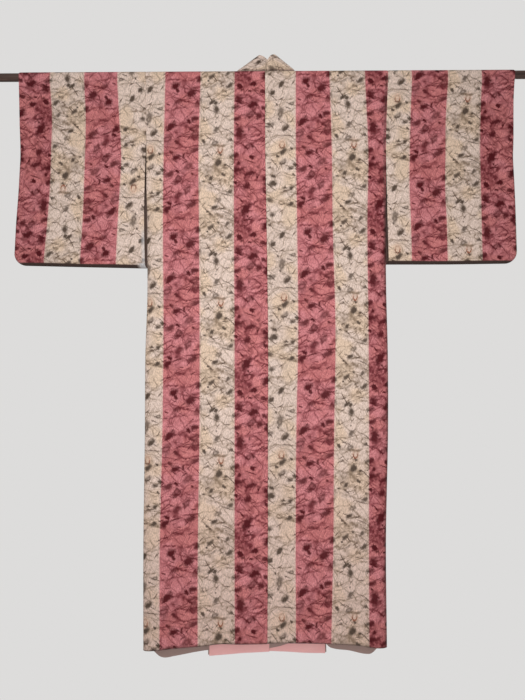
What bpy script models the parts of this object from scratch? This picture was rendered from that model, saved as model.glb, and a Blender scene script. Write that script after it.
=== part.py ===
"""A meisen kimono on a rod, seen from its back. Metres, +Z up.

The rod lies along X and its centre is the origin. The kimono hangs over it with
its back towards -Y, its two fronts towards +Y and its left side towards -X.
Every piece of cloth is a thin wall on a middle surface worked out here.
"""

import math
from collections import namedtuple

import bmesh
import bpy
from mathutils import Vector

# Rod
ROD_RADIUS = 0.010
ROD_LENGTH = 1.440
ROD_SIDES = 32
ROD_END_BEVEL = 0.001

# Cloth
WALL = 0.0016
SEAM_GAP = 0.0003
CLOTH_ABOVE_ROD = 0.0006
LAYER = ROD_RADIUS + CLOTH_ABOVE_ROD + WALL / 2

# Cut lengths, measured down from the rod's centre
SLEEVE_SEAM = 0.228
UNDERARM_END = 0.360
COLLAR_POINT = 0.228
COLLAR_END = 0.800
NOMINAL_HEM = 1.430
STRETCH_FROM = 0.800

# Widths
NECK_HALF = 0.080
OKUMI_TOP_LEFT = 0.133
OKUMI_TOP_RIGHT = 0.142
OKUMI_HEM_LEFT = 0.140
OKUMI_HEM_RIGHT = 0.150
SIDE_ROUND = 0.025
SIDE_HEM_BLEND = 0.040
SLEEVE_ROUND = 0.010
SLEEVE_CORNER = 0.030
SLEEVE_FOLD_Y = 0.005

# Front overlap: the left front lies outside the right one
OVERLAP_LIFT = 0.0054
LIFT_START_X = -0.285
LIFT_FULL_X = -0.165
LIFT_FULL_DEPTH = 0.055

# Collar
COLLAR_WALL = 0.0020
COLLAR_BACK_WIDTH = 0.055
COLLAR_END_WIDTH = 0.075
OVER_COLLAR_WALL = 0.0010
OVER_COLLAR_END = 0.360
BAND_SHARES = (0.0, 0.12, 0.56, 1.0)
EDGE_ROOM = 0.0003
EDGE_SHOULDER = 0.4

# Hem lining
LINING_WALL = 0.0010
LINING_HEIGHT = 0.150
LINING_DROP = 0.0020
LINING_INSET = 0.0030
LINING_ROWS = 4

# Colours
CREAM = (0.66, 0.56, 0.45, 1.0)
RASPBERRY = (0.52, 0.13, 0.15, 1.0)
SALMON = (0.76, 0.30, 0.27, 1.0)
BROWN_WOOD = (0.07, 0.04, 0.035, 1.0)

LEFT = -1
RIGHT = 1

Side = namedtuple("Side", "depth left centre right")
BODY_SIDES = (
    Side(0.000, -0.3070, -0.0020, 0.3125),
    Side(0.205, -0.3040, -0.0025, 0.3028),
    Side(0.390, -0.3035, -0.0005, 0.3010),
    Side(0.560, -0.3012, 0.0010, 0.2996),
    Side(0.720, -0.3055, 0.0014, 0.3006),
    Side(0.917, -0.3056, -0.0005, 0.2974),
    Side(1.172, -0.3074, -0.0022, 0.2878),
    Side(1.430, -0.3060, -0.0048, 0.2853),
)

Hem = namedtuple("Hem", "x back front")
HEMS = (
    Hem(-0.310, 1.4345, 1.4345),
    Hem(-0.262, 1.4305, 1.4580),
    Hem(-0.230, 1.4282, 1.4555),
    Hem(-0.180, 1.4234, 1.4480),
    Hem(-0.150, 1.4212, 1.4440),
    Hem(-0.107, 1.4176, 1.4430),
    Hem(-0.070, 1.4166, 1.4420),
    Hem(-0.020, 1.4180, 1.4400),
    Hem(0.020, 1.4166, 1.4340),
    Hem(0.060, 1.4166, 1.4235),
    Hem(0.132, 1.4172, 1.4225),
    Hem(0.150, 1.4182, 1.4372),
    Hem(0.195, 1.4216, 1.4440),
    Hem(0.250, 1.4280, 1.4525),
    Hem(0.290, 1.4305, 1.4305),
)

OkumiHem = namedtuple("OkumiHem", "across left right")
OKUMI_HEMS = (
    OkumiHem(0.0, 1.4440, 1.4430),
    OkumiHem(0.5, 1.4470, 1.4475),
    OkumiHem(1.0, 1.4500, 1.4520),
)

SleeveEdge = namedtuple("SleeveEdge", "depth left_outer right_outer left_furi right_furi")
SLEEVE_EDGES = (
    SleeveEdge(0.000, 0.6320, 0.6375, 0.0000, 0.0000),
    SleeveEdge(0.060, 0.6290, 0.6315, 0.0000, 0.0000),
    SleeveEdge(0.120, 0.6268, 0.6290, 0.0000, 0.0000),
    SleeveEdge(0.180, 0.6245, 0.6280, 0.0006, 0.0000),
    SleeveEdge(0.228, 0.6270, 0.6285, 0.0026, 0.0012),
    SleeveEdge(0.300, 0.6300, 0.6305, 0.0045, 0.0020),
    SleeveEdge(0.390, 0.6360, 0.6325, 0.0046, 0.0026),
    SleeveEdge(0.500, 0.6400, 0.6330, 0.0034, 0.0046),
)

SleeveHem = namedtuple("SleeveHem", "across left right")
SLEEVE_HEMS = (
    SleeveHem(0.0, 0.4972, 0.4905),
    SleeveHem(0.5, 0.4928, 0.4912),
    SleeveHem(1.0, 0.4880, 0.4900),
)

# Folds of the back: depth is away from the viewer, a ridge is negative
Fold = namedtuple("Fold", "top_x end_x half_width depth top end")
BACK_FOLDS = (
    Fold(0.010, 0.014, 0.045, 0.0030, 0.05, 1.60),
    Fold(-0.113, -0.125, 0.024, 0.0042, 0.72, 1.60),
    Fold(-0.060, -0.066, 0.024, -0.0026, 0.78, 1.60),
    Fold(-0.215, -0.200, 0.034, -0.0026, 0.08, 0.95),
    Fold(0.098, 0.106, 0.024, 0.0032, 0.30, 0.92),
    Fold(0.170, 0.160, 0.034, -0.0026, 0.22, 1.05),
    Fold(0.205, 0.215, 0.028, 0.0030, 0.95, 1.60),
    Fold(-0.225, -0.230, 0.028, 0.0024, 1.02, 1.60),
    Fold(-0.430, -0.442, 0.032, 0.0026, 0.05, 0.60),
    Fold(-0.540, -0.548, 0.028, -0.0022, 0.07, 0.60),
    Fold(0.420, 0.412, 0.032, 0.0026, 0.05, 0.60),
    Fold(0.535, 0.528, 0.030, -0.0024, 0.06, 0.60),
)
FRONT_FOLDS = (
    Fold(-0.230, -0.222, 0.036, 0.0026, 0.10, 1.10),
    Fold(-0.075, -0.070, 0.034, 0.0024, 0.55, 1.60),
    Fold(0.075, 0.082, 0.036, -0.0024, 0.50, 1.60),
    Fold(0.215, 0.205, 0.034, 0.0028, 0.12, 1.20),
    Fold(-0.470, -0.478, 0.034, 0.0026, 0.06, 0.60),
    Fold(0.480, 0.470, 0.034, 0.0026, 0.06, 0.60),
)
FOLD_FADE = 0.13

# The collar's sections from the middle of the back over the shoulder
Neck = namedtuple(
    "Neck", "place seam_x seam_y seam_z edge_y right_edge_x right_edge_z left_edge_x left_edge_z")
NECK_SECTIONS = (
    Neck(0, 0.0000, -0.0022, 0.0107, 0.0020, 0.0045, 0.0435, -0.0045, 0.0435),
    Neck(1, 0.0110, -0.0022, 0.0107, 0.0030, 0.0095, 0.0505, 0.0020, 0.0495),
    Neck(2, 0.0260, -0.0022, 0.0107, 0.0045, 0.0140, 0.0570, 0.0075, 0.0545),
    Neck(3, 0.0460, -0.0022, 0.0107, 0.0055, 0.0180, 0.0590, 0.0125, 0.0567),
    Neck(4, 0.0650, -0.0020, 0.0108, 0.0070, 0.0222, 0.0598, 0.0175, 0.0578),
    Neck(5, 0.0765, 0.0010, 0.0118, 0.0092, 0.0262, 0.0596, 0.0220, 0.0574),
    Neck(6, 0.0785, 0.0062, 0.0102, 0.0118, 0.0292, 0.0560, 0.0252, 0.0540),
    Neck(7, 0.0790, 0.0108, 0.0056, 0.0138, 0.0302, 0.0470, 0.0266, 0.0450),
    Neck(8, 0.0797, 0.0130, 0.0000, 0.0150, 0.0300, 0.0340, 0.0270, 0.0330),
    Neck(9, 0.0754, 0.0132, -0.0120, 0.0148, 0.0268, 0.0175, 0.0248, 0.0170),
    Neck(10, 0.0692, 0.0130, -0.0300, 0.0138, 0.0195, -0.0080, 0.0190, -0.0080),
)
NECK_STEPS = 2
NECK_EASE = 0.0018
LOW_EASE = 0.0006
COLLAR_STATIONS = (0.055, 0.085, 0.120, 0.155, 0.190, 0.228, 0.270, 0.315,
                   0.360, 0.430, 0.510, 0.600, 0.700, 0.800)
TAPER_FROM = 0.200
EASE_FROM = 0.030
EASE_OVER = 0.050
LINE_STEP = 0.001


def smooth(value):
    value = min(max(value, 0.0), 1.0)
    return value * value * (3.0 - 2.0 * value)


def mix(low, high, share):
    return low + (high - low) * share


def read(table, column, place):
    """The named column of a table at a place on its first column, on a smooth curve."""
    keys = [row[0] for row in table]
    values = [getattr(row, column) for row in table]
    place = min(max(place, keys[0]), keys[-1])
    index = max(i for i in range(len(keys) - 1) if keys[i] <= place)
    before = max(index - 1, 0)
    after = min(index + 2, len(keys) - 1)
    span = keys[index + 1] - keys[index]
    share = (place - keys[index]) / span
    slope_in = (values[index + 1] - values[before]) / (keys[index + 1] - keys[before])
    slope_out = (values[after] - values[index]) / (keys[after] - keys[index])
    square = share * share
    cube = square * share
    return (
        (2 * cube - 3 * square + 1) * values[index]
        + (cube - 2 * square + share) * span * slope_in
        + (3 * square - 2 * cube) * values[index + 1]
        + (cube - square) * span * slope_out
    )


def folds(table, x, depth):
    total = 0.0
    for fold in table:
        middle = mix(fold.top_x, fold.end_x, smooth((depth - fold.top) / (fold.end - fold.top)))
        fade = smooth((depth - fold.top) / FOLD_FADE) * smooth((fold.end - depth) / FOLD_FADE)
        total += fold.depth * fade * math.exp(-(((x - middle) / fold.half_width) ** 2))
    return total


def back_y(x, depth):
    return -LAYER + folds(BACK_FOLDS, x, depth)


def front_y(x, depth, side):
    """The fronts' middle surface: the left front is lifted clear of the right one."""
    lifted = 0.0
    if side == LEFT:
        across = smooth((x - LIFT_START_X) / (LIFT_FULL_X - LIFT_START_X))
        lifted = OVERLAP_LIFT * across * smooth(depth / LIFT_FULL_DEPTH)
    return LAYER + folds(FRONT_FOLDS, x, depth) + lifted


def rounded(rest, middle, distance, width):
    """A layer's Y near a closed edge, where the two layers meet in a round fold."""
    left_over = 1.0 - min(distance, width) / width
    return middle + (rest - middle) * math.sqrt(max(1.0 - left_over * left_over, 0.0))


def stretched(nominal, hem):
    """A nominal depth, let out below STRETCH_FROM so that the last row is the hem."""
    if nominal <= STRETCH_FROM:
        return nominal
    return mix(STRETCH_FROM, hem, (nominal - STRETCH_FROM) / (NOMINAL_HEM - STRETCH_FROM))


def spaced(start, end, count):
    return [mix(start, end, i / count) for i in range(count + 1)]


def material(name, colour, roughness):
    made = bpy.data.materials.new(name)
    made.use_nodes = True
    shader = made.node_tree.nodes["Principled BSDF"]
    shader.inputs["Base Color"].default_value = colour
    shader.inputs["Roughness"].default_value = roughness
    shader.inputs["Metallic"].default_value = 0.0
    made.diffuse_color = colour
    return made


def cloth_piece(name, grids, wall, colour):
    """One cloth piece from grids of points, joined where they meet, given its wall."""
    sheet = bmesh.new()
    for grid in grids:
        rows = [[sheet.verts.new(point) for point in row] for row in grid]
        for upper, lower in zip(rows, rows[1:]):
            for i in range(len(upper) - 1):
                sheet.faces.new((upper[i], upper[i + 1], lower[i + 1], lower[i]))
    bmesh.ops.remove_doubles(sheet, verts=sheet.verts, dist=1e-5)
    bmesh.ops.dissolve_degenerate(sheet, edges=sheet.edges, dist=1e-6)
    bmesh.ops.recalc_face_normals(sheet, faces=sheet.faces)
    mesh = bpy.data.meshes.new(name)
    sheet.to_mesh(mesh)
    sheet.free()
    mesh.shade_smooth()
    mesh.materials.append(colour)
    piece = bpy.data.objects.new(name, mesh)
    bpy.context.collection.objects.link(piece)
    thickness = piece.modifiers.new("Wall", "SOLIDIFY")
    thickness.thickness = wall
    thickness.offset = 0.0
    thickness.use_even_offset = False
    return piece


BODY_DEPTHS = (0.0, 0.03, 0.06, 0.10, 0.145, 0.185, SLEEVE_SEAM, 0.27, 0.315, UNDERARM_END)
BODY_LOWER_ROWS = 17
SIDE_INSETS = (0.0, 0.003, 0.010, SIDE_ROUND)
WIDE_COLUMNS = 9
NECK_COLUMNS = 3
ROD_ANGLES = (180.0, 145.0, 110.0, 80.0, 52.0, 26.0, 0.0)
NECKLINE_ANGLE = 110.0


def body_depths():
    return list(BODY_DEPTHS) + spaced(UNDERARM_END, NOMINAL_HEM, BODY_LOWER_ROWS)[1:]


def side_x(side, depth):
    return read(BODY_SIDES, "left" if side == LEFT else "right", depth)


def centre_x(side, depth):
    return read(BODY_SIDES, "centre", depth) + side * SEAM_GAP / 2


def collar_line_x(side, depth):
    """Where the front ends at the collar: down to the collar point, then on the okumi."""
    if depth <= COLLAR_POINT:
        return side * NECK_HALF * (1.0 - depth / COLLAR_POINT)
    top = OKUMI_TOP_LEFT if side == LEFT else OKUMI_TOP_RIGHT
    return -side * top * (depth - COLLAR_POINT) / (COLLAR_END - COLLAR_POINT)


def front_edge_x(side, depth):
    """The front's inner edge: the neck line, then the straight seam to the okumi."""
    if depth >= COLLAR_POINT:
        return side * SEAM_GAP / 2
    return collar_line_x(side, depth) + side * SEAM_GAP


def underarm_open(depth):
    """1 where the side is open for the sleeve, 0 where the side seam closes it."""
    return 1.0 - smooth((depth - SLEEVE_SEAM) / (UNDERARM_END - SLEEVE_SEAM))


def body_row(side, nominal, layer):
    """The points of one level of a body strip from its side seam to its inner edge."""
    outer = side_x(side, nominal)
    if layer == "back":
        inner = side * (NECK_HALF + SEAM_GAP)
        places = spaced(inner, centre_x(side, nominal), NECK_COLUMNS)[1:]
    else:
        inner = front_edge_x(side, nominal)
        places = []
    start = outer - side * SIDE_ROUND
    columns = [outer - side * inset for inset in SIDE_INSETS]
    columns += spaced(start, inner, WIDE_COLUMNS)[1:] + places
    points = []
    for x in columns:
        at_side = 1.0 - smooth(abs(outer - x) / SIDE_HEM_BLEND)
        hem = mix(read(HEMS, layer, x), read(HEMS, "back", x), at_side)
        depth = stretched(nominal, hem)
        rest = back_y(x, depth) if layer == "back" else front_y(x, depth, side)
        distance = abs(outer - x) + underarm_open(nominal) * SIDE_ROUND
        points.append(Vector((x, rounded(rest, 0.0, distance, SIDE_ROUND), -depth)))
    return points


def over_rod(columns, angle):
    turn = math.radians(angle)
    return [Vector((x, LAYER * math.cos(turn), LAYER * math.sin(turn))) for x in columns]


def body(side, name, colour):
    """Back, shoulder and front of one side: one strip of cloth, sewn down its side."""
    back = [body_row(side, nominal, "back") for nominal in body_depths()]
    front = [body_row(side, nominal, "front") for nominal in body_depths()]
    shoulder_x = [point.x for point in front[0]]
    neckline_x = [point.x for point in back[0]]
    wide = len(shoulder_x)
    low_turns = [angle for angle in ROD_ANGLES if angle >= NECKLINE_ANGLE]
    high_turns = [angle for angle in ROD_ANGLES if angle <= NECKLINE_ANGLE]
    rise = [over_rod(neckline_x, angle) for angle in low_turns]
    over = [over_rod(shoulder_x, angle) for angle in high_turns]
    neck = [row[wide - 1:] for row in rise]
    shoulder = [row[:wide] for row in rise]
    return cloth_piece(name, (back, neck, shoulder, over, front), WALL, colour)


SLEEVE_DEPTHS = (0.0, 0.03, 0.06, 0.10, 0.145, 0.185, SLEEVE_SEAM, 0.27, 0.315, UNDERARM_END, 0.41)
SLEEVE_FULL = 0.45
SLEEVE_INSETS = (0.0, 0.0028, SLEEVE_ROUND, SLEEVE_CORNER)
SLEEVE_COLUMNS = 8
FURI_BACK = 0.0030
FURI_FRONT = 0.0070
FURI_FRONT_SWING = 0.10
FURI_FOLD_SWING = 0.75
WRIST_THIN = 0.0030


def sleeve_side(side, column):
    return ("left_" if side == LEFT else "right_") + column


def corner(across, down):
    """Distances from the outer and bottom edges, bent round the sleeve's corner."""
    if across >= SLEEVE_CORNER or down >= SLEEVE_CORNER:
        return across, down, min(across, down)
    flat_x = 1.0 - across / SLEEVE_CORNER
    flat_z = 1.0 - down / SLEEVE_CORNER
    reach = max(flat_x, flat_z)
    if reach == 0.0:
        return across, down, SLEEVE_CORNER
    if flat_x >= flat_z:
        turn = math.pi / 4 * flat_z / flat_x
    else:
        turn = math.pi / 2 - math.pi / 4 * flat_x / flat_z
    bent_x = 1.0 - reach * math.cos(turn)
    bent_z = 1.0 - reach * math.sin(turn)
    return bent_x * SLEEVE_CORNER, bent_z * SLEEVE_CORNER, (1.0 - reach) * SLEEVE_CORNER


def wrist_open(depth):
    return 1.0 - smooth((depth - SLEEVE_SEAM / 2) / (SLEEVE_SEAM / 2))


def sleeve_row(side, depth, up, layer):
    """One level of a sleeve from its inner edge out: up is its height above the bottom."""
    furi = read(SLEEVE_EDGES, sleeve_side(side, "furi"), depth)
    own = furi if layer == "back" else furi * FURI_FRONT_SWING
    parted = 1.0 if up is None else rounded(1.0, 0.0, up, SLEEVE_ROUND)
    swing = mix(furi * FURI_FOLD_SWING, own, parted)
    inner = side_x(side, depth) + side * (SEAM_GAP + swing)
    outer = side * read(SLEEVE_EDGES, sleeve_side(side, "outer"), depth)
    last = outer - side * SLEEVE_CORNER
    insets = [abs(outer - x) for x in spaced(inner, last, SLEEVE_COLUMNS)[:-1]]
    insets += sorted(SLEEVE_INSETS, reverse=True)
    points = []
    for inset in insets:
        share = 1.0 - inset / abs(outer - inner)
        hem = read(SLEEVE_HEMS, "left" if side == LEFT else "right", share)
        across, above, distance = corner(inset, hem - depth if up is None else up)
        x = outer - side * across
        level = hem - above
        full = smooth((level - SLEEVE_SEAM) / (SLEEVE_FULL - SLEEVE_SEAM))
        if layer == "back":
            rest = back_y(x, level) - FURI_BACK * full * (1.0 - share) + WRIST_THIN * full * share
        else:
            rest = LAYER + folds(FRONT_FOLDS, x, level)
            rest += FURI_FRONT * full * (1.0 - share) - WRIST_THIN * full * share
        distance = min(distance + wrist_open(level) * SLEEVE_ROUND, above)
        middle = SLEEVE_FOLD_Y * full
        points.append(Vector((x, rounded(rest, middle, distance, SLEEVE_ROUND), -level)))
    return points


def sleeve(side, name, colour):
    """A sleeve: one strip over the rod, closed along its bottom and below the wrist."""
    grids = []
    top = []
    for layer in ("back", "front"):
        rows = [sleeve_row(side, depth, None, layer) for depth in SLEEVE_DEPTHS]
        bottom = SLEEVE_EDGES[-1].depth
        rows += [sleeve_row(side, bottom, up, layer) for up in sorted(SLEEVE_INSETS, reverse=True)]
        grids.append(rows)
        top.append([point.x for point in rows[0]])
    grids.append([over_rod(top[0], angle) for angle in ROD_ANGLES])
    return cloth_piece(name, grids, WALL, colour)


OKUMI_COLUMNS = 5
OKUMI_DEPTHS = (0.245, 0.27, 0.315, UNDERARM_END)


def okumi_edge_x(side, depth):
    """The okumi's front edge: the collar seam, then the straight edge to the hem."""
    if depth <= COLLAR_END:
        return collar_line_x(side, depth)
    share = (depth - COLLAR_END) / (NOMINAL_HEM - COLLAR_END)
    if side == LEFT:
        return mix(OKUMI_TOP_LEFT, OKUMI_HEM_LEFT, share)
    return -mix(OKUMI_TOP_RIGHT, OKUMI_HEM_RIGHT, share)


def okumi_rows(side, depths, shift=0.0, drop=0.0, inset=0.0):
    rows = []
    for nominal in depths:
        seam = -side * SEAM_GAP / 2
        edge = okumi_edge_x(side, nominal)
        row = []
        for share in spaced(0.0, 1.0, OKUMI_COLUMNS):
            x = mix(seam, edge + side * inset, share)
            hem = read(OKUMI_HEMS, "left" if side == LEFT else "right", share)
            depth = stretched(nominal, hem)
            lower = drop * max(depth - STRETCH_FROM, 0.0) / (hem - STRETCH_FROM)
            row.append(Vector((x, front_y(x, depth, side) - shift, -depth - lower)))
        rows.append(row)
    return rows


def okumi(side, name, colour):
    depths = list(OKUMI_DEPTHS) + spaced(UNDERARM_END, NOMINAL_HEM, BODY_LOWER_ROWS)[1:]
    return cloth_piece(name, (okumi_rows(side, depths),), WALL, colour)


def hem_lining(side, name, colour):
    """The lining that shows below the hem: made from the okumi's points, moved inwards."""
    depths = spaced(NOMINAL_HEM - LINING_HEIGHT, NOMINAL_HEM, LINING_ROWS)
    shift = WALL / 2 + SEAM_GAP + LINING_WALL / 2
    rows = okumi_rows(side, depths, shift, LINING_DROP, LINING_INSET)
    return cloth_piece(name, (rows,), LINING_WALL, colour)


def collar_width(depth):
    share = smooth((depth - TAPER_FROM) / (COLLAR_END - TAPER_FROM))
    return mix(COLLAR_BACK_WIDTH, COLLAR_END_WIDTH, share)


def collar_ease(depth):
    return mix(NECK_EASE, LOW_EASE, smooth((depth - EASE_FROM) / EASE_OVER))


def neck_section(side, place):
    """Seam and edge points of the collar at a place along NECK_SECTIONS."""
    own = "left_edge_" if side == LEFT else "right_edge_"
    ends = []
    for x, y, z in (("seam_x", "seam_y", "seam_z"), (own + "x", "edge_y", own + "z")):
        at = [read(NECK_SECTIONS, column, place) for column in (x, y, z)]
        ends.append(Vector((side * at[0], at[1], at[2])))
    seam, edge = ends
    if side == LEFT:
        for point in (seam, edge):
            point.y += OVERLAP_LIFT * smooth(-point.z / LIFT_FULL_DEPTH)
    return seam, edge


def front_section(side, depth):
    """Seam and edge points of the collar on the front, the edge square to the seam."""
    top = depth - LINE_STEP
    low = min(depth + LINE_STEP, COLLAR_END)
    run = Vector((collar_line_x(side, low) - collar_line_x(side, top), 0.0, top - low)).normalized()
    out = Vector((side * run.z, 0.0, -side * run.x))
    seam = Vector((collar_line_x(side, depth), 0.0, -depth)) + out * SEAM_GAP
    edge = seam + out * collar_width(depth)
    for point in (seam, edge):
        point.y = front_y(point.x, -point.z, side) + collar_ease(depth)
    return seam, edge


def half_collar(side, end):
    """The collar's sections on one side, from the middle of the back to the depth given."""
    last = len(NECK_SECTIONS) - 1
    places = spaced(0.0, last, last * NECK_STEPS)
    sections = [neck_section(side, place) for place in places]
    sections += [front_section(side, depth) for depth in COLLAR_STATIONS if depth <= end]
    return sections


def collar_sections(end):
    left = half_collar(LEFT, end)
    right = half_collar(RIGHT, end)
    return list(reversed(left)) + right[1:]


def band_grid():
    """The collar's middle surface and its normals: one row of points for each section."""
    ends = collar_sections(COLLAR_END)
    rows = [[seam.lerp(edge, share) for share in BAND_SHARES] for seam, edge in ends]
    normals = []
    for i, row in enumerate(rows):
        line = []
        for j in range(len(row)):
            along = rows[min(i + 1, len(rows) - 1)][j] - rows[max(i - 1, 0)][j]
            across = row[min(j + 1, len(row) - 1)] - row[max(j - 1, 0)]
            line.append(along.cross(across).normalized())
        normals.append(line)
    return rows, normals


def lofted(name, loops, shares, colour):
    """A closed body from loops of points. Shares say which way each face is split."""
    shape = bmesh.new()
    rings = [[shape.verts.new(point) for point in loop] for loop in loops]
    count = len(shares)
    for near, far in zip(rings, rings[1:]):
        for j in range(count):
            k = (j + 1) % count
            if shares[j] > shares[k]:
                shape.faces.new((near[j], near[k], far[j]))
                shape.faces.new((near[k], far[k], far[j]))
            else:
                shape.faces.new((near[j], near[k], far[k]))
                shape.faces.new((near[j], far[k], far[j]))
    for ring in (rings[0], rings[-1]):
        for j in range(count // 2 - 1):
            shape.faces.new((ring[j], ring[j + 1], ring[count - 2 - j], ring[count - 1 - j]))
    bmesh.ops.recalc_face_normals(shape, faces=shape.faces)
    mesh = bpy.data.meshes.new(name)
    shape.to_mesh(mesh)
    shape.free()
    mesh.shade_smooth()
    mesh.set_sharp_from_angle(angle=math.radians(60))
    mesh.materials.append(colour)
    piece = bpy.data.objects.new(name, mesh)
    bpy.context.collection.objects.link(piece)
    return piece


def collar(name, grid, colour):
    """The collar: a folded band, sewn to the neck and the fronts along its inner edge."""
    half = COLLAR_WALL / 2
    loops = []
    for row, line in zip(*grid):
        outer = [point + normal * half for point, normal in zip(row, line)]
        inner = [point - normal * half for point, normal in zip(row, line)]
        loops.append(outer + inner[::-1])
    return lofted(name, loops, BAND_SHARES + BAND_SHARES[::-1], colour)


def wrapped(row, line, out):
    """One section of a sheet laid round the collar's edge, this far from its middle."""
    across = (row[-1] - row[-2]).normalized()
    tip = row[-1] + across * (out + EDGE_ROOM)
    brow = row[-1] + across * (out * EDGE_SHOULDER)
    outer = [point + normal * out for point, normal in zip(row[1:-1], line[1:-1])]
    inner = [point - normal * out for point, normal in zip(row[1:-1], line[1:-1])]
    return outer + [brow + line[-1] * out, tip, brow - line[-1] * out] + inner[::-1]


def over_collar(name, grid, colour):
    """The over-collar, wrapped round the collar's edge and made from its points."""
    loops = []
    near = COLLAR_WALL / 2 + SEAM_GAP
    skipped = len([depth for depth in COLLAR_STATIONS if depth > OVER_COLLAR_END])
    for row, line in list(zip(*grid))[skipped:-skipped]:
        loops.append(wrapped(row, line, near + OVER_COLLAR_WALL) + wrapped(row, line, near)[::-1])
    side = BAND_SHARES[1:-1]
    around = side + (1.0, 1.1, 1.0) + side[::-1]
    return lofted(name, loops, around + around[::-1], colour)


def rod(name, colour):
    bpy.ops.mesh.primitive_cylinder_add(
        vertices=ROD_SIDES, radius=ROD_RADIUS, depth=ROD_LENGTH, rotation=(0.0, math.pi / 2, 0.0))
    made = bpy.context.object
    made.name = name
    made.data.name = name
    made.data.materials.append(colour)
    made.data.shade_smooth()
    made.data.set_sharp_from_angle(angle=math.radians(50))
    ends = made.modifiers.new("Ends", "BEVEL")
    ends.width = ROD_END_BEVEL
    ends.segments = 1
    ends.limit_method = "ANGLE"
    ends.angle_limit = math.radians(60)
    return made


def clear_scene():
    for found in list(bpy.data.objects):
        bpy.data.objects.remove(found, do_unlink=True)


def main():
    clear_scene()
    raspberry = material("raspberry_stripe_silk", RASPBERRY, 0.75)
    cream = material("cream_stripe_silk", CREAM, 0.75)
    salmon = material("salmon_lining_silk", SALMON, 0.6)
    wood = material("brown_rod_wood", BROWN_WOOD, 0.45)
    rod("rod", wood)
    body(LEFT, "body_left", raspberry)
    body(RIGHT, "body_right", raspberry)
    sleeve(LEFT, "sleeve_left", cream)
    sleeve(RIGHT, "sleeve_right", cream)
    okumi(LEFT, "okumi_left", raspberry)
    okumi(RIGHT, "okumi_right", raspberry)
    grid = band_grid()
    collar("collar", grid, cream)
    over_collar("over_collar", grid, cream)
    hem_lining(LEFT, "hem_lining_left", salmon)
    hem_lining(RIGHT, "hem_lining_right", salmon)


main()
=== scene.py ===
# Meisen kimono on a rod, its back to the camera: silk panels, collar, hem lining and rod
import math

import bmesh
import bpy
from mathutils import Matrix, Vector, noise


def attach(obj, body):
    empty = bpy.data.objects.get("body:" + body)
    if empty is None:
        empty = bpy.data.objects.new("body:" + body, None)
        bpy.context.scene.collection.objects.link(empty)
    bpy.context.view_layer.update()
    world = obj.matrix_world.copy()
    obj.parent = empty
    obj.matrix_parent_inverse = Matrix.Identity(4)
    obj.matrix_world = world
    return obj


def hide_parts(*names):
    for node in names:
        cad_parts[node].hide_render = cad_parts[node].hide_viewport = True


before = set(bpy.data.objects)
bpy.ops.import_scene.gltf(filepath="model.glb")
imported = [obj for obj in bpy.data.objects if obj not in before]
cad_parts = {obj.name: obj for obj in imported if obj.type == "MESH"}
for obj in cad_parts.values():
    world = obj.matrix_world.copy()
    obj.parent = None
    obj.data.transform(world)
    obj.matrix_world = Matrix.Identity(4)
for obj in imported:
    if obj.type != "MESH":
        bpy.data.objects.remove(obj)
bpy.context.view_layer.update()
bpy.ops.object.select_all(action="DESELECT")
print("frame loaded:", len(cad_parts), "nodes")

left, right = -1, 1

# sizes that all the cloth shares, in metres; a depth is measured down from the rod's centre
cloth = {
    "layer": 0.0114,  # from the rod's centre to the middle of the cloth
    "gap": 0.0003,
    "wall": 0.0009,
    "grid": 0.0058,  # the mesh's squares
    "roundColumns": 9,
    "join": 0.00001,  # points nearer than this are one
    "sleeveSeam": 0.228,
    "underarm": 0.360,
    "collarPoint": 0.228,
    "collarEnd": 0.800,
    "hem": 1.430,
    "letOutFrom": 0.800,
    "neckHalf": 0.080,
    "overlapLift": 0.0054,  # the left front lies outside the right one
    "liftStartX": -0.285,
    "liftFullX": -0.165,
    "liftFullDepth": 0.055,
    "foldFade": 0.13,
    "rippleFrom": 0.06,  # the cloth lies smooth on the rod
    "edgeFrom": 0.02,
    "tuck": 0.0008,  # how far an edge turns in at a seam or hem
    "tuckWidth": 0.0024,
    "pucker": 0.0004,  # a seam draws the cloth up this much
    "puckerReach": 0.012,
    "puckerWaves": (55.0, 20.0),  # a metre along the seam and away from it
    "puckerSeed": 3.7,
}
overRod = cloth["layer"] * math.pi / 2  # cloth from the rod's top round to the start of the depths

# main folds: x at the top and the end, half width, depth (a ridge is negative), top, end
backFolds = (
    (0.010, 0.014, 0.045, 0.0030, 0.05, 1.60),
    (-0.113, -0.125, 0.024, 0.0042, 0.72, 1.60),
    (-0.060, -0.066, 0.024, -0.0026, 0.78, 1.60),
    (-0.215, -0.200, 0.034, -0.0026, 0.08, 0.95),
    (0.098, 0.106, 0.024, 0.0032, 0.30, 0.92),
    (0.170, 0.160, 0.034, -0.0026, 0.22, 1.05),
    (0.205, 0.215, 0.028, 0.0030, 0.95, 1.60),
    (-0.225, -0.230, 0.028, 0.0024, 1.02, 1.60),
    (-0.430, -0.442, 0.032, 0.0026, 0.05, 0.60),
    (-0.540, -0.548, 0.028, -0.0022, 0.07, 0.60),
    (0.420, 0.412, 0.032, 0.0026, 0.05, 0.60),
    (0.535, 0.528, 0.030, -0.0024, 0.06, 0.60),
)
frontFolds = (
    (-0.230, -0.222, 0.036, 0.0026, 0.10, 1.10),
    (-0.075, -0.070, 0.034, 0.0024, 0.55, 1.60),
    (0.075, 0.082, 0.036, -0.0024, 0.50, 1.60),
    (0.215, 0.205, 0.034, 0.0028, 0.12, 1.20),
    (-0.470, -0.478, 0.034, 0.0026, 0.06, 0.60),
    (0.480, 0.470, 0.034, 0.0026, 0.06, 0.60),
)

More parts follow.
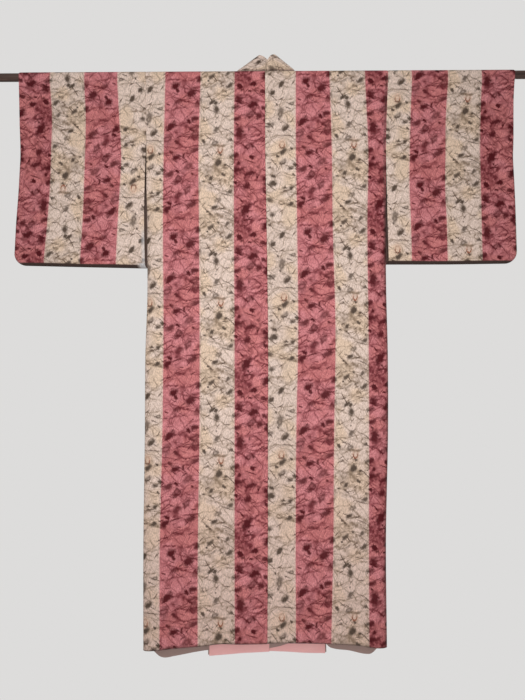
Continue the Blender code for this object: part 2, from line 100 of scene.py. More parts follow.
# creases: x and depth of one end, x and depth of the other, half width, depth (a ridge is negative)
backCreases = (
    (-0.118, 0.86, -0.124, 1.25, 0.0070, 0.0013),
    (-0.090, 0.98, -0.098, 1.40, 0.0060, -0.0008),
    (-0.140, 0.92, -0.152, 1.18, 0.0080, -0.0008),
    (0.020, 0.10, 0.016, 0.48, 0.0075, 0.0009),
    (-0.022, 0.52, -0.016, 1.02, 0.0080, 0.0009),
    (0.034, 0.86, 0.030, 1.38, 0.0070, 0.0010),
    (0.102, 0.34, 0.105, 0.80, 0.0065, 0.0011),
    (0.128, 0.42, 0.124, 0.66, 0.0070, -0.0007),
    (0.250, 0.08, 0.296, 0.40, 0.0080, 0.0009),
    (0.286, 0.16, 0.284, 0.36, 0.0060, 0.0010),
    (-0.262, 0.10, -0.296, 0.42, 0.0080, 0.0009),
    (-0.205, 0.16, -0.238, 0.46, 0.0090, -0.0007),
    (0.205, 0.20, 0.190, 0.52, 0.0090, 0.0007),
    (-0.176, 0.30, -0.160, 0.78, 0.0085, 0.0007),
    (-0.050, 0.14, -0.056, 0.42, 0.0080, -0.0006),
    (0.066, 0.96, 0.070, 1.36, 0.0075, -0.0008),
    (0.142, 1.02, 0.150, 1.40, 0.0080, 0.0009),
    (0.182, 1.10, 0.178, 1.42, 0.0070, -0.0007),
    (0.232, 0.72, 0.240, 1.12, 0.0080, 0.0008),
    (-0.262, 0.70, -0.258, 1.06, 0.0080, 0.0008),
    (-0.245, 1.12, -0.250, 1.42, 0.0070, 0.0009),
    (-0.190, 1.16, -0.184, 1.42, 0.0075, -0.0008),
    (-0.300, 0.716, -0.020, 0.722, 0.0050, 0.0005),
    (0.030, 0.724, 0.290, 0.716, 0.0050, 0.0005),
    (-0.285, 1.086, -0.060, 1.080, 0.0050, 0.0004),
    (0.060, 1.078, 0.280, 1.088, 0.0050, 0.0004),
    (-0.350, 0.060, -0.380, 0.400, 0.0080, 0.0008),
    (-0.408, 0.120, -0.424, 0.470, 0.0075, -0.0007),
    (-0.500, 0.050, -0.518, 0.300, 0.0080, 0.0008),
    (-0.590, 0.100, -0.604, 0.420, 0.0070, 0.0009),
    (-0.340, 0.355, -0.620, 0.345, 0.0050, 0.0004),
    (0.352, 0.070, 0.372, 0.420, 0.0080, 0.0008),
    (0.450, 0.090, 0.446, 0.470, 0.0075, -0.0007),
    (0.500, 0.200, 0.520, 0.460, 0.0080, 0.0008),
    (0.592, 0.080, 0.600, 0.380, 0.0070, 0.0009),
    (0.340, 0.345, 0.615, 0.356, 0.0050, 0.0004),
)
frontCreases = (
    (-0.120, 0.30, -0.140, 0.80, 0.0080, 0.0009),
    (-0.200, 0.14, -0.250, 0.52, 0.0090, -0.0008),
    (-0.270, 0.10, -0.298, 0.40, 0.0075, 0.0009),
    (-0.180, 0.84, -0.188, 1.36, 0.0080, 0.0009),
    (-0.100, 0.92, -0.094, 1.40, 0.0070, -0.0008),
    (-0.040, 0.62, -0.046, 1.20, 0.0080, 0.0008),
    (0.050, 0.70, 0.054, 1.32, 0.0080, 0.0009),
    (0.100, 0.34, 0.092, 0.74, 0.0080, 0.0008),
    (0.160, 0.60, 0.168, 1.30, 0.0085, -0.0008),
    (0.215, 0.12, 0.252, 0.54, 0.0090, 0.0008),
    (0.262, 0.10, 0.292, 0.42, 0.0075, 0.0009),
    (0.240, 0.88, 0.246, 1.38, 0.0080, 0.0008),
    (-0.290, 0.718, 0.290, 0.722, 0.0050, 0.0005),
    (-0.360, 0.080, -0.378, 0.430, 0.0080, 0.0008),
    (-0.440, 0.100, -0.436, 0.460, 0.0075, -0.0007),
    (-0.585, 0.090, -0.600, 0.400, 0.0070, 0.0008),
    (0.366, 0.060, 0.380, 0.420, 0.0080, 0.0008),
    (0.446, 0.110, 0.452, 0.470, 0.0075, -0.0007),
    (0.590, 0.100, 0.602, 0.410, 0.0070, 0.0008),
)
creaseRun = {"wander": 0.0018, "waves": 31.0, "shift": 90.0, "fadeIn": 0.3, "fadeOut": 0.35, "reach": 3.0}
# the cloth's own unevenness between the creases: height, waves a metre across and along
ripples = ((0.0011, 15.0, 3.4), (0.0004, 44.0, 14.0))
rippleSeeds = {"back": 1.5, "front": 4.5}


def ease(value):
    value = min(max(value, 0.0), 1.0)
    return value * value * (3.0 - 2.0 * value)


def between(low, high, share):
    return low + (high - low) * share


def spread(start, end, count):
    return [between(start, end, i / count) for i in range(count + 1)]


def evenly(start, end):
    count = round(abs(end - start) / cloth["grid"])
    return spread(start, end, max(count, 1))


def readCurve(table, column, place):  # one column of a table, on a smooth curve
    keys, values = table["at"], table[column]
    place = min(max(place, keys[0]), keys[-1])
    i = max(j for j in range(len(keys) - 1) if keys[j] <= place)
    before, after = max(i - 1, 0), min(i + 2, len(keys) - 1)
    span = keys[i + 1] - keys[i]
    share = (place - keys[i]) / span
    slopeIn = (values[i + 1] - values[before]) / (keys[i + 1] - keys[before])
    slopeOut = (values[after] - values[i]) / (keys[after] - keys[i])
    square = share * share
    cube = square * share
    return ((2 * cube - 3 * square + 1) * values[i] + (cube - 2 * square + share) * span * slopeIn
            + (3 * square - 2 * cube) * values[i + 1] + (cube - square) * span * slopeOut)


def foldDepth(table, x, depth):
    total = 0.0
    for topX, endX, halfWidth, height, top, end in table:
        middle = between(topX, endX, ease((depth - top) / (end - top)))
        fade = ease((depth - top) / cloth["foldFade"]) * ease((end - depth) / cloth["foldFade"])
        total += height * fade * math.exp(-(((x - middle) / halfWidth) ** 2))
    return total


def creaseDepth(table, x, depth):
    total = 0.0
    for startX, startDepth, endX, endDepth, halfWidth, height in table:
        runX, runDepth = endX - startX, endDepth - startDepth
        length = math.hypot(runX, runDepth)
        along = ((x - startX) * runX + (depth - startDepth) * runDepth) / length
        if not 0.0 < along < length:
            continue
        aside = ((depth - startDepth) * runX - (x - startX) * runDepth) / length
        phase = along * creaseRun["waves"] + startX * creaseRun["shift"]
        aside += creaseRun["wander"] * math.sin(phase)  # no crease is quite straight
        if abs(aside) < creaseRun["reach"] * halfWidth:
            share = along / length
            ends = ease(share / creaseRun["fadeIn"]) * ease((1.0 - share) / creaseRun["fadeOut"])
            total += height * ends * math.exp(-((aside / halfWidth) ** 2))
    return total


def rippleDepth(x, depth, seed):
    total = sum(height * noise.noise(Vector((x * across, depth * along, seed)))
                for height, across, along in ripples)
    return total * ease(depth / cloth["rippleFrom"])


def backDepth(x, depth):
    return (-cloth["layer"] + foldDepth(backFolds, x, depth) + creaseDepth(backCreases, x, depth)
            + rippleDepth(x, depth, rippleSeeds["back"]))


def lifted(side, x, depth):
    if side != left:
        return 0.0
    across = ease((x - cloth["liftStartX"]) / (cloth["liftFullX"] - cloth["liftStartX"]))
    return cloth["overlapLift"] * across * ease(depth / cloth["liftFullDepth"])


def frontDepth(x, depth, side=None):
    return (cloth["layer"] + foldDepth(frontFolds, x, depth) + creaseDepth(frontCreases, x, depth)
            + rippleDepth(x, depth, rippleSeeds["front"]) + lifted(side, x, depth))


def rounded(rest, middle, distance, width):  # where two layers meet in a round fold
    leftOver = 1.0 - min(distance, width) / width
    return middle + (rest - middle) * math.sqrt(max(1.0 - leftOver * leftOver, 0.0))


def roundInsets(width):  # places for a round fold's columns, closest at its edge
    return [width * (1.0 - math.cos(turn)) for turn in spread(0.0, math.pi / 2, cloth["roundColumns"])]


def letOut(nominal, hem):
    if nominal <= cloth["letOutFrom"]:
        return nominal
    share = (nominal - cloth["letOutFrom"]) / (cloth["hem"] - cloth["letOutFrom"])
    return between(cloth["letOutFrom"], hem, share)


edgeInsets = (0.0, 0.0009, 0.0020, 0.0036)


def tuckedIn(distance, along):  # how far the cloth goes in at a seam or a turned edge
    turned = cloth["tuck"] * max(1.0 - distance / cloth["tuckWidth"], 0.0) ** 2
    if distance > 3 * cloth["puckerReach"]:
        return turned
    wavesAlong, wavesAway = cloth["puckerWaves"]
    drawn = noise.noise(Vector((along * wavesAlong, distance * wavesAway, cloth["puckerSeed"])))
    return turned + cloth["pucker"] * drawn * math.exp(-distance / cloth["puckerReach"])


def closeTo(end, way):
    return [end - way * inset for inset in reversed(edgeInsets)]


def withEdge(start, end):  # even places, close together at the end
    near = closeTo(end, 1.0 if end > start else -1.0)
    return evenly(start, near[0])[:-1] + near


def acrossAt(panel, x, depth):  # where x lies on the cloth's width, from its stripe edges
    places = [readCurve(panel, name, depth) for name in ("first", "second", "third")]
    marks = panel["marks"]
    if x < places[1]:
        return between(marks[0], marks[1], (x - places[0]) / (places[1] - places[0]))
    return between(marks[1], marks[2], (x - places[1]) / (places[2] - places[1]))


def mapRow(panel, points, alongs, roundFrom=0, marks=None):  # each point's place on the flat cloth, and marks
    across = [acrossAt(panel, point.x, -point.z if point.z < 0 else 0.0) for point in points]
    way = 1.0 if across[0] > across[-1] else -1.0
    extra, found = 0.0, []
    for i in reversed(range(len(points))):
        if i + 1 < len(points) and i < roundFrom:
            step = points[i] - points[i + 1]
            extra += math.hypot(step.x, step.y) - abs(step.x)
        place = (across[i] + way * extra, panel["start"] + panel["way"] * alongs[i])
        found.append((points[i], place + (marks[i] if marks else ())))
    return found[::-1]


def clothPiece(name, grids, wall, finishes, outward):  # joins the grids, then gives the cloth its wall
    sheet = bmesh.new()
    flat = sheet.loops.layers.uv.new("clothMap")
    shadeAndPale = sheet.loops.layers.float_color.new("shadeAndPale")  # painted shade outside, pale lining edge outside, painted shade inside
    for grid in grids:
        rows = [[sheet.verts.new(point) for point, place in row] for row in grid]
        for i in range(len(rows) - 1):
            for j in range(len(rows[i]) - 1):
                corners = ((i, j), (i, j + 1), (i + 1, j + 1), (i + 1, j))
                face = sheet.faces.new([rows[a][b] for a, b in corners])
                for loop, (a, b) in zip(face.loops, corners):
                    across, along, *marks = grid[a][b][1]
                    loop[flat].uv = (across, along)
                    loop[shadeAndPale] = (*(marks or (0.0, 0.0, 0.0)), 1.0)
    bmesh.ops.remove_doubles(sheet, verts=sheet.verts, dist=cloth["join"])
    bmesh.ops.dissolve_degenerate(sheet, edges=sheet.edges, dist=cloth["join"] / 10)
    bmesh.ops.recalc_face_normals(sheet, faces=sheet.faces)
    out = Vector(outward)
    outermost = max(sheet.faces, key=lambda face: face.calc_center_median().dot(out))
    if outermost.normal.dot(out) < 0.0:
        bmesh.ops.reverse_faces(sheet, faces=sheet.faces)
    mesh = bpy.data.meshes.new(name)
    sheet.to_mesh(mesh)
    sheet.free()
    mesh.shade_smooth()
    for finish in finishes:
        mesh.materials.append(finish)
    piece = bpy.data.objects.new(name, mesh)
    bpy.context.collection.objects.link(piece)
    thickness = piece.modifiers.new("wall", "SOLIDIFY")
    thickness.thickness = wall
    thickness.offset = 0.0
    thickness.use_even_offset = False
    thickness.material_offset = len(finishes) - 1
    bpy.context.view_layer.objects.active = piece
    bpy.ops.object.modifier_apply(modifier="wall")
    print(name, "made,", len(piece.data.polygons), "faces")
    return piece


def tone(red, green, blue):  # a screen colour as Blender's linear one
    channels = []
    for value in (red / 255.0, green / 255.0, blue / 255.0):
        channels.append(value / 12.92 if value <= 0.04045 else ((value + 0.055) / 1.055) ** 2.4)
    return (*channels, 1.0)


# the silk's drawing: a warp print of long thin lines, blots and one warm loop a repeat, in metres
# a fade is stated by where it starts and ends, and by its values there if they aren't 0 and 1
pattern = {
    "repeat": 0.39,
    "stripe": 0.09,
    "stripeBlur": 0.0004,
    "paleEdge": (0.0014, 0.0050),  # cream is tinted next to a raspberry stripe
    "paleEdgeShare": 0.65,
    "yarnsAcross": (420.0, 0.0010),  # yarns a metre, and how far they shift the drawing
    "yarnsAlong": (620.0, 0.0030),
    "clouds": {  # seed, scale, detail, and roughness where it isn't the usual one
        "slow": (44.0, 17.0, 1.0),
        "quick": (47.0, 75.0, 1.0),
        "broken": (31.0, 27.0, 0.0),
        "brokenToo": (36.0, 31.0, 0.0),
        "beads": (91.0, 100.0, 1.0),
        "rough": (52.0, 105.0, 2.0, 0.6),
        "wash": (63.0, 40.0, 2.0),
        "warm": (71.0, 17.0, 1.0),
        "speckle": (83.0, 330.0, 1.0),
    },
    "lines": (  # slope, change across, seed, cell scale, half width, strength
        (0.16, 0.10, 1.7, 19.0, 0.0010, 0.90),
        (-0.26, 0.12, 5.3, 17.0, 0.0010, 0.90),
        (0.60, 0.16, 8.9, 15.0, 0.0010, 0.85),
        (-0.95, 0.20, 3.1, 14.0, 0.0009, 0.80),
        (2.60, 0.22, 9.7, 13.0, 0.0009, 0.70),
        (0.10, 0.80, 6.4, 31.0, 0.0011, 0.62),
    ),
    "lineWander": {"slow": 0.020, "quick": 0.006},
    "lineFade": (0.1, 1.7),  # where a line starts to fade and is gone, in half widths
    "skirtFade": 3.0,
    "lineBreaks": (0.36, 0.54, 0.30, 1.0),
    "lineBeads": (0.40, 0.58, 0.50, 1.0),
    "strokes": (  # slope, seed, cell scale, half length, half width, share kept
        (0.0, 12.1, 21.0, 0.0110, 0.0013, 0.75),
        (-0.3, 19.3, 17.0, 0.0200, 0.0012, 0.75),
        (0.4, 27.7, 27.0, 0.0085, 0.0013, 0.70),
    ),
    "strokeBow": 12.0,
    "strokeFade": (0.3, 1.5, 0.95),  # in half widths, and the strength
    "blots": (  # slope, seed, cell scale, half size low, half size high, share kept
        (0.3, 2.2, 20.0, 0.0072, 0.0112, 0.97),
        (-0.4, 7.7, 25.0, 0.0030, 0.0062, 0.60),
    ),
    "blotOnCream": 0.97,  # the same blot comes out smaller on cream than on raspberry
    "blotOnRed": 0.68,
    "blotRough": 0.0110,
    "blotLength": 0.80,
    "blotFade": (0.30, 1.05),
    "blotStrength": (-0.40, 1.10),  # the higher a blot's dice, the fainter it is
    "blotMiddle": {"size": 0.45, "paleness": 0.40, "from": 0.65},
    "scatter": 0.72,  # how unevenly blots and strokes are strewn
    "lean": 1.7,  # blots and strokes lean by up to half of this either way, in radians
    "loop": {"across": 0.055, "along": 0.215, "radius": 0.0078, "half": 0.0014,
             "narrow": 1.35, "tall": 0.85, "rough": 0.35, "fade": (0.6, 1.8), "strength": 0.95,
             "halo": 2.6, "haloStrength": 0.45, "faintEnd": (-0.004, 0.002, 0.35, 1.0)},
    "warmFade": (0.44, 0.62),
    "washFade": (0.48, 0.66),
    "speckle": (0.42, 0.62, 0.0, 0.42),
}
dyes = {
    "cream": {
        "ground": tone(241, 217, 204), "warm": tone(240, 211, 186), "wash": tone(188, 172, 158),
        "washed": 0.14, "skirted": 0.34, "skirt": tone(176, 154, 136), "ink": tone(126, 103, 82),
        "stroke": tone(98, 78, 66), "blot": tone(90, 74, 63),
    },
    "red": {
        "ground": tone(222, 142, 146), "warm": tone(217, 134, 133), "wash": tone(170, 90, 94),
        "washed": 0.28, "skirted": 0.74, "skirt": tone(154, 72, 78), "ink": tone(102, 29, 38),
        "stroke": tone(92, 22, 30), "blot": tone(84, 15, 23),
    },
    "hemDarkening": tone(224, 188, 176),  # cream, darker and pinker towards the hem
    "hemDarkeningFrom": -0.75,
    "hemDarkeningFull": -1.45,
    "hemDarkeningShare": 0.55,
    "tinted": tone(234, 192, 184),
    "halo": tone(226, 186, 162),
    "loop": tone(150, 76, 44),
    # painted shade: the colour the silk is darkened to along seams, folds, creases and the sleeves'
    # undersides
    "paintedShade": tone(72, 55, 50),
    "paled": tone(205, 205, 208),
}
making = {"tree": None}  # the node tree that new nodes go into


class Signal:  # a node's output, which adds and multiplies like a number
    def __init__(self, socket):
        self.socket = socket

    def __add__(self, other):
        return reckon("ADD", self, other)

    def __sub__(self, other):
        return reckon("SUBTRACT", self, other)

    def __rsub__(self, other):
        return reckon("SUBTRACT", other, self)

    def __mul__(self, other):
        return reckon("MULTIPLY", self, other)

    def __abs__(self):
        return reckon("ABSOLUTE", self)


def plug(socket, value):
    if isinstance(value, Signal):
        making["tree"].links.new(value.socket, socket)
    else:
        socket.default_value = value


def addNode(kind, sockets, **settings):
    made = making["tree"].nodes.new("ShaderNode" + kind)
    for key, value in settings.items():
        setattr(made, key, value)
    for key, value in sockets.items():
        plug(made.inputs[key], value)
    return made


def output(kind, sockets, wanted=0, **settings):
    return Signal(addNode(kind, sockets, **settings).outputs[wanted])


def reckon(operation, *values):
    return output("Math", dict(enumerate(values)), operation=operation)


def split(vector):  # the three numbers of a place or colour
    return [Signal(socket) for socket in addNode("SeparateXYZ", {"Vector": vector}).outputs]


def joined(x, y, z=0.0):
    return output("CombineXYZ", {"X": x, "Y": y, "Z": z})


def fade(value, fromLow, fromHigh, toLow=0.0, toHigh=1.0):
    return output("MapRange", {"Value": value, "From Min": fromLow, "From Max": fromHigh,
                               "To Min": toLow, "To Max": toHigh}, interpolation_type="SMOOTHSTEP")


def mixColour(share, first, second):
    return output("Mix", {0: share, 6: first, 7: second}, 2, data_type="RGBA")


def scaled(colour, share):
    return output("VectorMath", {0: colour, "Scale": share}, operation="SCALE")


def cloud(place, scale, detail, roughness=0.5, wanted="Fac"):
    return output("TexNoise", {
        "Vector": place, "Scale": scale, "Detail": detail, "Roughness": roughness}, wanted)


def objectPlace():
    return output("TexCoord", {}, "Object")


def newMaterial(name):
    made = bpy.data.materials.new(name)
    made.use_nodes = True
    making["tree"] = made.node_tree
    return made, made.node_tree.nodes["Principled BSDF"]


weave = {
    "pitch": 0.00055,
    "depth": 0.00012,
    "slubs": (60.0, 900.0),  # a metre across and along
    "slubHeight": 1.6,
    "slubShade": (0.25, 0.75, 0.96, 1.04),
    "slubGloss": (0.2, 0.8),
    "threadHeight": 0.5,
    "streaks": (430.0, 150.0),
    "streakShade": (0.30, 0.70, 0.86, 1.12),
}
silkFinish = {
    "bump": 0.6, "roughness": (0.56, 0.70), "specular": 0.16, "sheen": 0.03, "sheenRoughness": 0.45}
liningFinish = {
    "bump": 0.4, "roughness": (0.48, 0.60), "specular": 0.40, "sheen": 0.15, "sheenRoughness": 0.50}


def yarnCloud(across, along, name, detail):
    return cloud(joined(across * weave[name][0], along * weave[name][1]), 1.0, detail)


def weaveSilk(shader, across, along, colour, finish):  # plain weave with uneven yarns
    waves = math.tau / weave["pitch"]
    threads = reckon("SINE", across * waves) * reckon("SINE", along * waves)
    slubs = yarnCloud(across, along, "slubs", 2.0)
    height = slubs * weave["slubHeight"] + threads * weave["threadHeight"]
    plug(shader.inputs["Normal"], output("Bump", {
        "Strength": finish["bump"], "Distance": weave["depth"], "Height": height}, "Normal"))
    plug(shader.inputs["Base Color"], scaled(colour, fade(slubs, *weave["slubShade"])))
    plug(shader.inputs["Roughness"], fade(slubs, *weave["slubGloss"], *finish["roughness"]))
    plug(shader.inputs["Specular IOR Level"], finish["specular"])
    plug(shader.inputs["Sheen Weight"], finish["sheen"])
    plug(shader.inputs["Sheen Roughness"], finish["sheenRoughness"])


def clothPlaces():  # the place on the flat cloth, and the marks of painted shade and pale lining edge
    across, along = split(output("UVMap", {}, uv_map="clothMap"))[:2]
    return across, along, split(output("VertexColor", {}, "Color", layer_name="shadeAndPale"))


def yarns(value, scale, reach):  # each yarn's own shift
    waves = output("TexNoise", {"W": value, "Scale": scale, "Detail": 1.0}, noise_dimensions="1D")
    return waves * (2 * reach) - reach


def ring(flat, slope=0.0, change=1.0, seed=0.0):  # the cloth bent round, so that the drawing repeats along it
    across, along = flat
    radius = pattern["repeat"] / math.tau
    angle = (across * slope + along) * (1.0 / radius)
    cosine, sine = reckon("COSINE", angle), reckon("SINE", angle)
    return joined(across * change + seed, cosine * radius, sine * radius), cosine, sine


def patternCloud(flat, name, wanted="Fac"):
    seed, *settings = pattern["clouds"][name]
    return cloud(ring(flat, seed=seed)[0], *settings, wanted=wanted)


def moved(place, waves, reach):
    offset = output("VectorMath", {0: waves, 1: (reach,) * 3, 2: (-reach / 2,) * 3}, operation="MULTIPLY_ADD")
    return output("VectorMath", {0: place, 1: offset}, operation="ADD")


def strewn(flat, slope, seed, scale):  # way from the nearest mark's middle, along and across it, and its dice
    place, cosine, sine = ring(flat, slope, 1.0, seed)
    cells = addNode("TexVoronoi", {"Vector": place, "Scale": scale, "Randomness": pattern["scatter"]})
    x, inward, upward = split(output("VectorMath", {0: place, 1: Signal(cells.outputs["Position"])},
                                     operation="SUBTRACT"))
    y = upward * cosine - inward * sine
    dice = split(Signal(cells.outputs["Color"]))
    lean = dice[0] * pattern["lean"] - pattern["lean"] / 2
    cosine, sine = reckon("COSINE", lean), reckon("SINE", lean)
    return x * cosine + y * sine, y * cosine - x * sine, dice


def longLines(flat):  # each family is broken and faded in its own places
    slow, quick = patternCloud(flat, "slow", "Color"), patternCloud(flat, "quick", "Color")
    broken = split(patternCloud(flat, "broken", "Color")) + split(patternCloud(flat, "brokenToo", "Color"))
    wander = pattern["lineWander"]
    full, gone = pattern["lineFade"]
    skirtGone = pattern["skirtFade"]
    ink, skirts = 0.0, 0.0
    for (slope, change, seed, scale, half, strength), breaks in zip(pattern["lines"], broken):
        place = moved(ring(flat, slope, change, seed)[0], slow, wander["slow"])
        place = moved(place, quick, wander["quick"])
        fromLine = output("TexVoronoi", {"Vector": place, "Scale": scale, "Randomness": 1.0},
                          "Distance", feature="DISTANCE_TO_EDGE")
        wide = half * scale
        kept = fade(breaks, *pattern["lineBreaks"])
        ink = reckon("MAXIMUM", ink, fade(fromLine, wide * full, wide * gone, strength, 0.0) * kept)
        skirts = reckon("MAXIMUM", skirts, fade(fromLine, 0.0, wide * skirtGone, strength, 0.0) * kept)
    return ink * fade(patternCloud(flat, "beads"), *pattern["lineBeads"]), skirts


def shortStrokes(flat):
    full, gone, strength = pattern["strokeFade"]
    strokes = 0.0
    for slope, seed, scale, length, half, kept in pattern["strokes"]:
        lengthways, sideways, dice = strewn(flat, slope, seed, scale)
        bow = dice[1] * (2 * pattern["strokeBow"]) - pattern["strokeBow"]
        line = fade(abs(sideways + lengthways * lengthways * bow), half * full, half * gone, strength, 0.0)
        end = fade(abs(lengthways), length * full, length, 1.0, 0.0)
        strokes = reckon("MAXIMUM", strokes, line * end * reckon("LESS_THAN", dice[2], kept))
    return strokes


def darkBlots(flat, red, rough):  # some have a paler middle
    grown = fade(red, 0.0, 1.0, pattern["blotOnCream"], pattern["blotOnRed"])
    full, gone = pattern["blotFade"]
    fainter, strongest = pattern["blotStrength"]
    middle = pattern["blotMiddle"]
    blots = 0.0
    for slope, seed, scale, low, high, kept in pattern["blots"]:
        lengthways, sideways, dice = strewn(flat, slope, seed, scale)
        longer = lengthways * pattern["blotLength"]
        distance = reckon("SQRT", longer * longer + sideways * sideways) * grown + rough
        size = dice[1] * (high - low) + low
        blot = fade(distance, size * full, size * gone, dice[2] * fainter + strongest, 0.0)
        pale = fade(distance, 0.0, size * middle["size"], middle["paleness"], 0.0)
        blot = blot - pale * reckon("GREATER_THAN", dice[2], middle["from"])
        blots = reckon("MAXIMUM", blots, blot * reckon("LESS_THAN", dice[2], kept))
    return blots


def warmLoop(flat, turn, rough):  # one loop a repeat on each cream stripe, and the halo round it
    loop, repeat = pattern["loop"], pattern["repeat"]
    x = (turn - loop["across"]) * loop["narrow"]
    y = reckon("FLOORED_MODULO", flat[1] + (repeat / 2 - loop["along"]), repeat) - repeat / 2
    tall = y * loop["tall"]
    distance = reckon("SQRT", x * x + tall * tall) + rough * loop["rough"]
    full, gone = (loop["half"] * share for share in loop["fade"])
    drawn = fade(abs(distance - loop["radius"]), full, gone, loop["strength"], 0.0)
    halo = fade(distance, loop["radius"], loop["radius"] * loop["halo"], loop["haloStrength"], 0.0)
    return drawn * fade(y, *loop["faintEnd"]), halo


def dyedGround(flat, dye):  # soft washes of thinner dye
    warm = fade(split(patternCloud(flat, "warm", "Color"))[1], *pattern["warmFade"])
    wash = fade(patternCloud(flat, "wash"), *pattern["washFade"])
    return mixColour(wash * dye["washed"], mixColour(warm, dye["ground"], dye["warm"]), dye["wash"])


def silkMaterial(name):
    material, shader = newMaterial(name)
    across, along, marks = clothPlaces()
    flat = (across + yarns(along, *pattern["yarnsAcross"]), along + yarns(across, *pattern["yarnsAlong"]))
    stripe, blur = pattern["stripe"], pattern["stripeBlur"]
    turn = reckon("MODULO", flat[0], 2 * stripe)
    red = fade(turn, stripe - blur, stripe + blur)
    edgeLine = fade(stripe / 2 - abs(turn - stripe / 2), *pattern["paleEdge"], 1.0, 0.0)
    rough = patternCloud(flat, "rough") * pattern["blotRough"] - pattern["blotRough"] / 2
    ink, skirts = longLines(flat)
    loop, halo = warmLoop(flat, turn, rough)

    # the cream goes darker and pinker towards the hem
    low = fade(split(objectPlace())[2], dyes["hemDarkeningFrom"], dyes["hemDarkeningFull"])
    cream = mixColour(low * dyes["hemDarkeningShare"], dyedGround(flat, dyes["cream"]), dyes["hemDarkening"])
    cream = mixColour(edgeLine * pattern["paleEdgeShare"], cream, dyes["tinted"])
    cream = mixColour(loop, mixColour(halo, cream, dyes["halo"]), dyes["loop"])
    colour = mixColour(red, cream, dyedGround(flat, dyes["red"]))
    skirts = skirts * fade(red, 0.0, 1.0, dyes["cream"]["skirted"], dyes["red"]["skirted"])
    speckle = fade(patternCloud(flat, "speckle"), *pattern["speckle"])
    layers = {"skirt": reckon("MAXIMUM", skirts, speckle), "ink": ink,
              "stroke": shortStrokes(flat), "blot": darkBlots(flat, red, rough)}
    for layer, share in layers.items():
        colour = mixColour(share, colour, mixColour(red, dyes["cream"][layer], dyes["red"][layer]))
    # painted shade where the first mark says, then the pale lining edge where the second says
    colour = mixColour(marks[0], colour, dyes["paintedShade"])
    colour = mixColour(marks[1], colour, dyes["paled"])

    streaks = fade(yarnCloud(across, along, "streaks", 1.0), *weave["streakShade"])
    weaveSilk(shader, across, along, scaled(colour, streaks), silkFinish)
    return material


# the lining: salmon, and inside the body pale, with painted shade on the front hems where they show below the
# back's
lining = {
    "mottle": (14.0, 3.0),
    "salmon": (tone(238, 170, 168), tone(246, 190, 188)),
    "pale": (tone(206, 203, 196), tone(222, 219, 210)),
    "paleFrom": (-1.041, -1.039),
    # painted shade: the front hems darkened where they hang below the back's hem
    "hemDarkening": {"from": -1.405, "full": -1.420, "strength": 0.92, "tone": tone(150, 128, 120)},
    # painted shade inside the sleeve's slit
    "slit": tone(96, 74, 66),
}


def liningMaterial(name, pale):
    material, shader = newMaterial(name)
    across, along, marks = clothPlaces()
    place = objectPlace()
    mottle = cloud(place, *lining["mottle"])
    colour = mixColour(mottle, *lining["salmon"])
    if pale:
        height, hemDarkening = split(place)[2], lining["hemDarkening"]
        colour = mixColour(fade(height, *lining["paleFrom"]), colour, mixColour(mottle, *lining["pale"]))
        # painted shade on the front hems below the back's hem
        shade = fade(height, hemDarkening["from"], hemDarkening["full"], 0.0, hemDarkening["strength"])
        colour = mixColour(shade, colour, hemDarkening["tone"])
    # painted shade inside the sleeve's slit, where the third mark says
    weaveSilk(shader, across, along, mixColour(marks[2], colour, lining["slit"]), liningFinish)
    return material


stripedSilk = silkMaterial("stripedSilk")
collarSilk = silkMaterial("collarSilk")
hemLining = liningMaterial("hemLining", False)
bodyLining = liningMaterial("bodyLining", True)
print("silks mixed")


